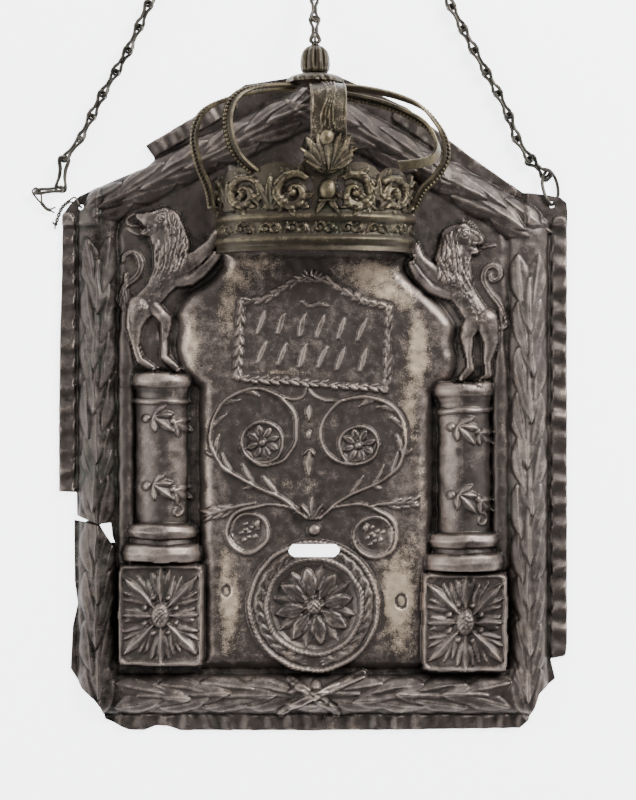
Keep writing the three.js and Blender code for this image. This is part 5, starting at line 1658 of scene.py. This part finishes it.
def link_parts(start, end, turn, eye, waist, wire, hook=1.5):
    """One wire loop, narrow in its middle, between two places."""
    a, b = np.asarray(start, float), np.asarray(end, float)
    along = b - a
    half = np.linalg.norm(along) / 2 + wire * hook
    along /= np.linalg.norm(along)
    flat = np.cross((0, 0, 1), along)
    flat /= np.linalg.norm(flat)
    lift = np.cross(along, flat)
    side = flat * math.cos(turn) + lift * math.sin(turn)
    top = np.cross(along, side)
    middle = (a + b) / 2
    spots = [(1.0, eye * 0.45), (0.9, eye * 0.95), (0.66, eye * 0.92), (0.3, waist * 1.05), (0.0, waist)]
    right = [(f * half, s) for f, s in spots] + [(-f * half, s) for f, s in reversed(spots[:-1])]
    loop = right + [(-f, -s) for f, s in right]
    points = [middle + along * f + side * s for f, s in curve(loop, 40, True)]
    return tube_parts(points, ring_section(wire, 7), top, True)


LONGEST_STEP = 25


def spaced(route, count):
    """Evenly spaced places along a smooth line, cut up where it is long and straight, and its length."""
    stops = [np.asarray(route[0], float)]
    for place in route[1:]:
        cuts = max(1, round(np.linalg.norm(np.subtract(place, stops[-1])) / LONGEST_STEP))
        stops += list(np.linspace(stops[-1], place, cuts + 1)[1:])
    line = curve(stops, 480)
    length = lengths(line)
    return read_at(np.linspace(0, length[-1], count + 1), length, line), length[-1]


def ring_end(side):
    """Where a chain's last link lies in the top ring."""
    reach = TOP_RING_RADIUS - 1.0 - 0.3 - WIRE * 1.5
    turn = side * math.pi / 4
    return (reach * math.sin(turn), TOP_RING_Y - reach * math.cos(turn), CHAIN_Z)


QUARTER = math.pi / 4
RING_LINK = (math.pi / 2, 2.6)
CHAINS = {
    "chain_left": (
        [
            ring_end(-1), (-88.6, 397.4, CHAIN_Z), (-101.2, 369.3, CHAIN_Z), (-115, 345.7, CHAIN_Z),
            (-129.2, 317.6, CHAIN_Z), (-136.4, 309.4, CHAIN_Z),
        ],
        RING_LINK, (QUARTER, 2.2),
    ),
    "chain_centre": (
        [
            (CROWN_X, FINIAL_Y + FINIAL_HEIGHT + LOOP_RADIUS * 0.8 + LOOP_RADIUS - WIRE - 1.5, CAP_Z),
            (0.6, 396.5, CAP_Z * 0.4 + CHAIN_Z * 0.6), (0.4, 422.5, CHAIN_Z), ring_end(0),
        ],
        (0.0, 2.6), RING_LINK,
    ),
    "chain_right": (
        [
            ring_end(1), (73.7, 397.4, CHAIN_Z), (89.7, 366.6, CHAIN_Z), (105.1, 338.5, CHAIN_Z),
            (114.4, 314.9, CHAIN_Z), (128.6, 299.9, 4.1),
        ],
        RING_LINK, (QUARTER, 3.7),
    ),
}


def build_chains():
    """The three chains; the left one ends in two long links."""
    made = []
    for name, (route, first, last) in CHAINS.items():
        _, total = spaced(route, 10)
        count = max(2, round(total / in_mm("link_pitch")))
        joints, _ = spaced(route, count)
        parts = []
        for i, (a, b) in enumerate(zip(joints[:-1], joints[1:])):
            turn, eye = first if i == 0 else last if i == count - 1 else (QUARTER if i % 2 else -QUARTER, 2.7)
            parts += folded_link(a, b, turn, eye)
        if name == "chain_left":
            parts += folded_link(joints[-1], (-138.4, 293, CHAIN_Z), -0.3, 2.9, 1.7)
            parts += folded_link((-138.4, 293, CHAIN_Z), (-151, 291.6, CHAIN_Z), 0.9, 2.0, 1.5)
        made.append(plain_piece(name + "_links", parts, "chain_wire", name))
    return made


def build_top_ring():
    """The ring that the chains meet in; it leans on the ground at its top and on the links below."""
    t = np.linspace(0, math.tau, 64, endpoint=False)
    radius = TOP_RING_RADIUS
    heights = [1.0 + 2.6 * (0.5 - 0.5 * math.sin(a)) for a in t]
    ring = [(radius * math.cos(a), TOP_RING_Y + radius * math.sin(a), z) for a, z in zip(t, heights)]
    parts = [tube_parts(ring, ring_section(TOP_RING_WIRE, 10), (0, 0, 1), True)]
    return plain_piece("top_ring_wire", parts, "chain_wire", "top_ring")


def build_ring_right():
    """The long jump ring through the upper right corner."""
    x, y = RING_HOLE
    above = TAB_RISE + SHEET + 0.3 + WIRE + 0.2
    below = TAB_RISE - 0.3 - WIRE - 0.1
    loop = [
        (x - 2.2, y + 19, 4.1), (x - 5.3, y + 13, above), (x - 4.2, y + 6, above + 0.3),
        (x - 1.7, y + 1.2, above), (x, y, TAB_RISE + SHEET / 2), (x + 1.7, y + 1.4, below),
        (x + 3.8, y + 6, below), (x + 2.4, y + 14, below + 0.4),
    ]
    parts = [tube_parts(curve(loop, 72, True), ring_section(in_mm("ring_wire"), 9), (0.1, 0.1, 1), True)]
    return plain_piece("ring_right_wire", parts, "chain_wire", "ring_right")


def twisted_parts(route, tails):
    """Two wires twisted round each other, with loose ends."""
    line = curve(route, 46)
    _, _, side, up = frames(line, (0, 0, 1))
    turn = np.arange(len(line)) * 0.5
    parts = []
    for phase in (0.0, math.pi):
        offset = 1.4 * side * np.cos(turn + phase)[:, None] + up * np.sin(turn + phase)[:, None]
        parts.append(tube_parts(line + 0.42 * offset, ring_section(TIE_WIRE * 1.15, 6)))
    for tail in tails:
        parts.append(tube_parts(curve(tail, 8), ring_section(TIE_WIRE * 1.05, 6)))
    return parts


def build_ties():
    """The two bits of binding wire, one round the chain's end and one through the plate."""
    z = CHAIN_Z
    eye = [
        (-148.9, 285.2, z - 0.7), (-149.2, 289, z - 2.2), (-149.5, 291.7, z), (-151.5, 293.4, z + 2.4),
        (-153.8, 291.5, z + 0.3), (-151, 287.4, z - 0.4), (-148.7, 285, z - 0.5),
    ]
    parts = [tube_parts(curve(eye, 50), ring_section(TIE_WIRE * 1.2, 7), (0.2, 0.1, 1))]
    parts += twisted_parts(
        [(-148.7, 285.2, z - 0.6), (-146.5, 282.6, 2), (-144.2, 281.6, 1.6)],
        [
            [(-144.4, 281.8, 1.5), (-142.8, 282.8, 1.3), (-141.4, 283.2, 1)],
            [(-144.4, 281.5, 1.6), (-143.2, 280.9, 1.1), (-142, 280.2, 0.8)],
        ],
    )
    first = plain_piece("tie_chain_wire", parts, "chain_wire", "wire_tie_chain")
    x, y = TIE_HOLE
    above = TAB_RISE + SHEET + 0.3 + TIE_WIRE + 0.2
    below = TAB_RISE - 0.3 - TIE_WIRE - 0.2
    loop = [
        (x, y, TAB_RISE + SHEET / 2), (x - 1.2, y + 1.4, above), (x - 3.4, y + 5.4, above),
        (x - 6.8, y + 3.4, 2.6), (x - 3.6, y + 2.6, below), (x - 1, y + 0.6, below),
    ]
    parts = [tube_parts(curve(loop, 48, True), ring_section(TIE_WIRE * 1.15, 7), (0.2, 0.3, 1), True)]
    parts += twisted_parts(
        [(x - 6.6, y + 3.6, 2.4), (x - 11, y - 0.4, 1.8), (x - 14.5, y - 9.5, 1.3)],
        [
            [(x - 14.4, y - 9.2, 1.2), (x - 14.8, y - 10.6, 1.0), (x - 14.6, y - 11.6, 0.8)],
            [(x - 14.4, y - 9.2, 1.3), (x - 15.6, y - 8.6, 1.6), (x - 15.8, y - 7.6, 2)],
        ],
    )
    second = plain_piece("tie_plate_wire", parts, "chain_wire", "wire_tie_plate")
    return [first, second]


# The stage

FLOOR_HALF = 4.0
FLOOR_Z = -0.0006
AIM = (0, 0.17, 0)
FILL_SHARE = 0.4
SENSOR_HEIGHT = 24.0
CAMERA_X = 0.00275
CAMERA_Y = 0.1774


def area_light(name, place, target, size, power, colour=(1, 1, 1)):
    data = bpy.data.lights.new(name, "AREA")
    data.shape = "RECTANGLE"
    data.size, data.size_y = size
    data.energy = power
    data.color = colour
    light = bpy.data.objects.new(name, data)
    light.location = place
    light.rotation_euler = (Vector(target) - Vector(place)).to_track_quat("-Z", "Y").to_euler()
    bpy.context.scene.collection.objects.link(light)
    return light


def build_stage():
    scene = bpy.context.scene
    light = scene.shield_light
    floor = bpy.data.materials.new("floor_white")
    floor.use_nodes = True
    shader = floor.node_tree.nodes["Principled BSDF"]
    shader.inputs["Base Color"].default_value = (*hex_colour("f4f5f8"), 1)
    shader.inputs["Roughness"].default_value = 0.9
    shader.inputs["Emission Color"].default_value = (*hex_colour("f6f8fc"), 1)
    shader.inputs["Emission Strength"].default_value = light.floor_glow
    mesh = bpy.data.meshes.new("floor")
    s = FLOOR_HALF
    corners = [(-s, -s, FLOOR_Z), (s, -s, FLOOR_Z), (s, s, FLOOR_Z), (-s, s, FLOOR_Z)]
    mesh.from_pydata(corners, [], [(0, 1, 2, 3)])
    mesh.materials.append(floor)
    ground = bpy.data.objects.new("floor", mesh)
    scene.collection.objects.link(ground)
    world = bpy.data.worlds.new("studio")
    world.use_nodes = True
    background = world.node_tree.nodes["Background"]
    tree = world.node_tree
    toward = tree.nodes.new("ShaderNodeSeparateXYZ")
    tree.links.new(tree.nodes.new("ShaderNodeTexCoord").outputs["Generated"], toward.inputs[0])
    turned = math_node(tree, "MULTIPLY", toward.outputs["Y"], 0.22)
    height = math_node(tree, "SUBTRACT", toward.outputs["Z"], turned)
    sky = ramp(tree, height, [(0.2, (2.2, 2.23, 2.3)), (0.5, (0.95, 0.96, 1.0)), (0.8, (0.26, 0.26, 0.28))])
    tree.links.new(sky, background.inputs[0])
    background.inputs[1].default_value = light.room
    scene.world = world
    area_light("key", (0.85, 0.95, 0.85), AIM, (0.5, 0.7), light.key)
    area_light("fill", (-1.1, 0.1, 0.9), AIM, (0.7, 1.1), light.key * FILL_SHARE)
    camera = bpy.data.cameras.new("camera")
    camera.sensor_fit = "VERTICAL"
    camera.sensor_height = SENSOR_HEIGHT
    camera.lens = light.lens
    camera.clip_end = 20
    view = bpy.data.objects.new("camera", camera)
    view.location = (CAMERA_X, CAMERA_Y, light.camera_height)
    scene.collection.objects.link(view)
    scene.camera = view


# The add-on


def colour(name, description, code):
    return bpy.props.FloatVectorProperty(
        name=name, description=description, default=hex_colour(code), subtype="COLOR", size=3, min=0.0,
        max=1.0,
    )


def size(name, description, default):
    return bpy.props.FloatProperty(
        name=name, description=description, default=default, unit="LENGTH", min=0.0001, precision=5
    )


class ShieldSizes(bpy.types.PropertyGroup):
    """Sizes of the ornament and the wire."""

    leaf_pitch: size("Leaf pitch", "Distance from leaf to leaf along the border's garland", 0.025)
    rim_pitch: size("Rim pitch", "Distance from hollow to hollow along the outer rim", 0.0118)
    bead_pitch: size("Bead pitch", "Distance from bead to bead along the arches", 0.0021)
    bead_radius: size("Bead radius", "Radius of the beads on the arches", 0.00105)
    link_pitch: size("Link pitch", "Distance from link to link along the chains", 0.01375)
    link_wire: size("Link wire", "Radius of the wire of the links", 0.00084)
    ring_wire: size("Ring wire", "Radius of the wire of the ring at the right corner", 0.00095)


class ShieldColours(bpy.types.PropertyGroup):
    """Colours of the tarnished silver; the dark ones also paint shade in the hollows and the bright ones
    paint highlights on the ridges.
    """

    silver_dark: colour("Plate dark", "Tarnish in the hollows of the plate", "1e1a17")
    silver_middle: colour("Plate middle", "Silver between hollows and ridges of the plate", "4c4440")
    silver_bright: colour("Plate bright", "Worn ridges of the plate", "8d8077")
    silver_patina: colour("Plate patina", "Greenish deposit of the plate", "40413a")
    crown_silver_dark: colour("Crown dark", "Tarnish in the hollows of the crown", "1a1712")
    crown_silver_middle: colour("Crown middle", "Silver between hollows and ridges of the crown", "3d362c")
    crown_silver_bright: colour("Crown bright", "Worn ridges of the crown", "736850")
    crown_silver_patina: colour("Crown patina", "Greenish deposit of the crown", "383a2d")
    chain_wire_dark: colour("Chain dark", "Tarnish in the hollows of the chain", "1c1a16")
    chain_wire_middle: colour("Chain middle", "Silver between hollows and ridges of the chain", "4a453e")
    chain_wire_bright: colour("Chain bright", "Worn ridges of the chain", "8f867a")
    chain_wire_patina: colour("Chain patina", "Greenish deposit of the chain", "37382e")
    ochre: colour("Ochre", "Brown-yellow clouds in the tarnish", "7b6a50")
    worn: colour("Worn field", "Bare metal where hands have rubbed the field", "d8c2a8")


class ShieldLight(bpy.types.PropertyGroup):
    """Light and camera of the studio."""

    key: bpy.props.FloatProperty(
        name="Key light", description="Power of the main soft light", default=34.0, min=0.0, unit="POWER"
    )
    room: bpy.props.FloatProperty(
        name="Room light", description="Strength of the light from all sides", default=0.85, min=0.0
    )
    floor_glow: bpy.props.FloatProperty(
        name="Floor glow", description="Strength of the light that the floor gives off", default=4.0, min=0.0
    )
    lens: bpy.props.FloatProperty(
        name="Lens", description="Focal length of the camera", default=60.0, min=1.0, unit="CAMERA"
    )
    camera_height: bpy.props.FloatProperty(
        name="Camera height", description="Height of the camera above the back of the plate", default=1.1,
        min=0.2, unit="LENGTH",
    )


class SHIELD_OT_stage(bpy.types.Operator):
    """Build the floor, the lights and the camera"""

    bl_idname = "shield.stage"
    bl_label = "Build Stage"

    def execute(self, context):
        build_stage()
        return {"FINISHED"}


class SHIELD_OT_plate(bpy.types.Operator):
    """Build the embossed plate and its hollow back"""

    bl_idname = "shield.plate"
    bl_label = "Build Plate"

    def execute(self, context):
        build_plate()
        return {"FINISHED"}


class SHIELD_OT_crown_band(bpy.types.Operator):
    """Build the crown's band with its pierced coronet"""

    bl_idname = "shield.crown_band"
    bl_label = "Build Crown Band"

    def execute(self, context):
        build_crown_band()
        return {"FINISHED"}


class SHIELD_OT_arches(bpy.types.Operator):
    """Build the four beaded arches and the wide front one"""

    bl_idname = "shield.arches"
    bl_label = "Build Arches"

    def execute(self, context):
        build_arches()
        build_front_strap()
        return {"FINISHED"}


class SHIELD_OT_cap(bpy.types.Operator):
    """Build the leafy cap and the lobed finial"""

    bl_idname = "shield.cap"
    bl_label = "Build Cap and Finial"

    def execute(self, context):
        build_cap()
        build_finial()
        return {"FINISHED"}


class SHIELD_OT_chains(bpy.types.Operator):
    """Build the three chains of folded links"""

    bl_idname = "shield.chains"
    bl_label = "Build Chains"

    def execute(self, context):
        build_chains()
        return {"FINISHED"}


class SHIELD_OT_rings(bpy.types.Operator):
    """Build the top ring and the ring at the right corner"""

    bl_idname = "shield.rings"
    bl_label = "Build Rings"

    def execute(self, context):
        build_top_ring()
        build_ring_right()
        return {"FINISHED"}


class SHIELD_OT_ties(bpy.types.Operator):
    """Build the two twisted wire ties"""

    bl_idname = "shield.ties"
    bl_label = "Build Wire Ties"

    def execute(self, context):
        build_ties()
        return {"FINISHED"}


STEPS = ("stage", "plate", "crown_band", "arches", "cap", "chains", "rings", "ties")


class SHIELD_PT_panel(bpy.types.Panel):
    """Settings and steps of the shield"""

    bl_idname = "SHIELD_PT_panel"
    bl_label = "Torah Shield"
    bl_space_type = "VIEW_3D"
    bl_region_type = "UI"
    bl_category = "Torah Shield"

    def draw(self, context):
        scene = context.scene
        for group in (scene.shield_sizes, scene.shield_colours, scene.shield_light):
            box = self.layout.box()
            for name in group.__annotations__:
                box.prop(group, name)
        for step in STEPS:
            self.layout.operator("shield." + step)


CLASSES = (
    ShieldSizes, ShieldColours, ShieldLight, SHIELD_OT_stage, SHIELD_OT_plate, SHIELD_OT_crown_band,
    SHIELD_OT_arches, SHIELD_OT_cap, SHIELD_OT_chains, SHIELD_OT_rings, SHIELD_OT_ties, SHIELD_PT_panel,
)


def register():
    for cls in CLASSES:
        bpy.utils.register_class(cls)
    bpy.types.Scene.shield_sizes = bpy.props.PointerProperty(type=ShieldSizes)
    bpy.types.Scene.shield_colours = bpy.props.PointerProperty(type=ShieldColours)
    bpy.types.Scene.shield_light = bpy.props.PointerProperty(type=ShieldLight)


def unregister():
    del bpy.types.Scene.shield_light
    del bpy.types.Scene.shield_colours
    del bpy.types.Scene.shield_sizes
    for cls in reversed(CLASSES):
        bpy.utils.unregister_class(cls)


def main():
    register()
    bpy.ops.shield.stage()
    bpy.ops.shield.plate()
    bpy.ops.shield.crown_band()
    bpy.ops.shield.arches()
    bpy.ops.shield.cap()
    bpy.ops.shield.chains()
    bpy.ops.shield.rings()
    bpy.ops.shield.ties()


if __name__ == "__main__":
    main()
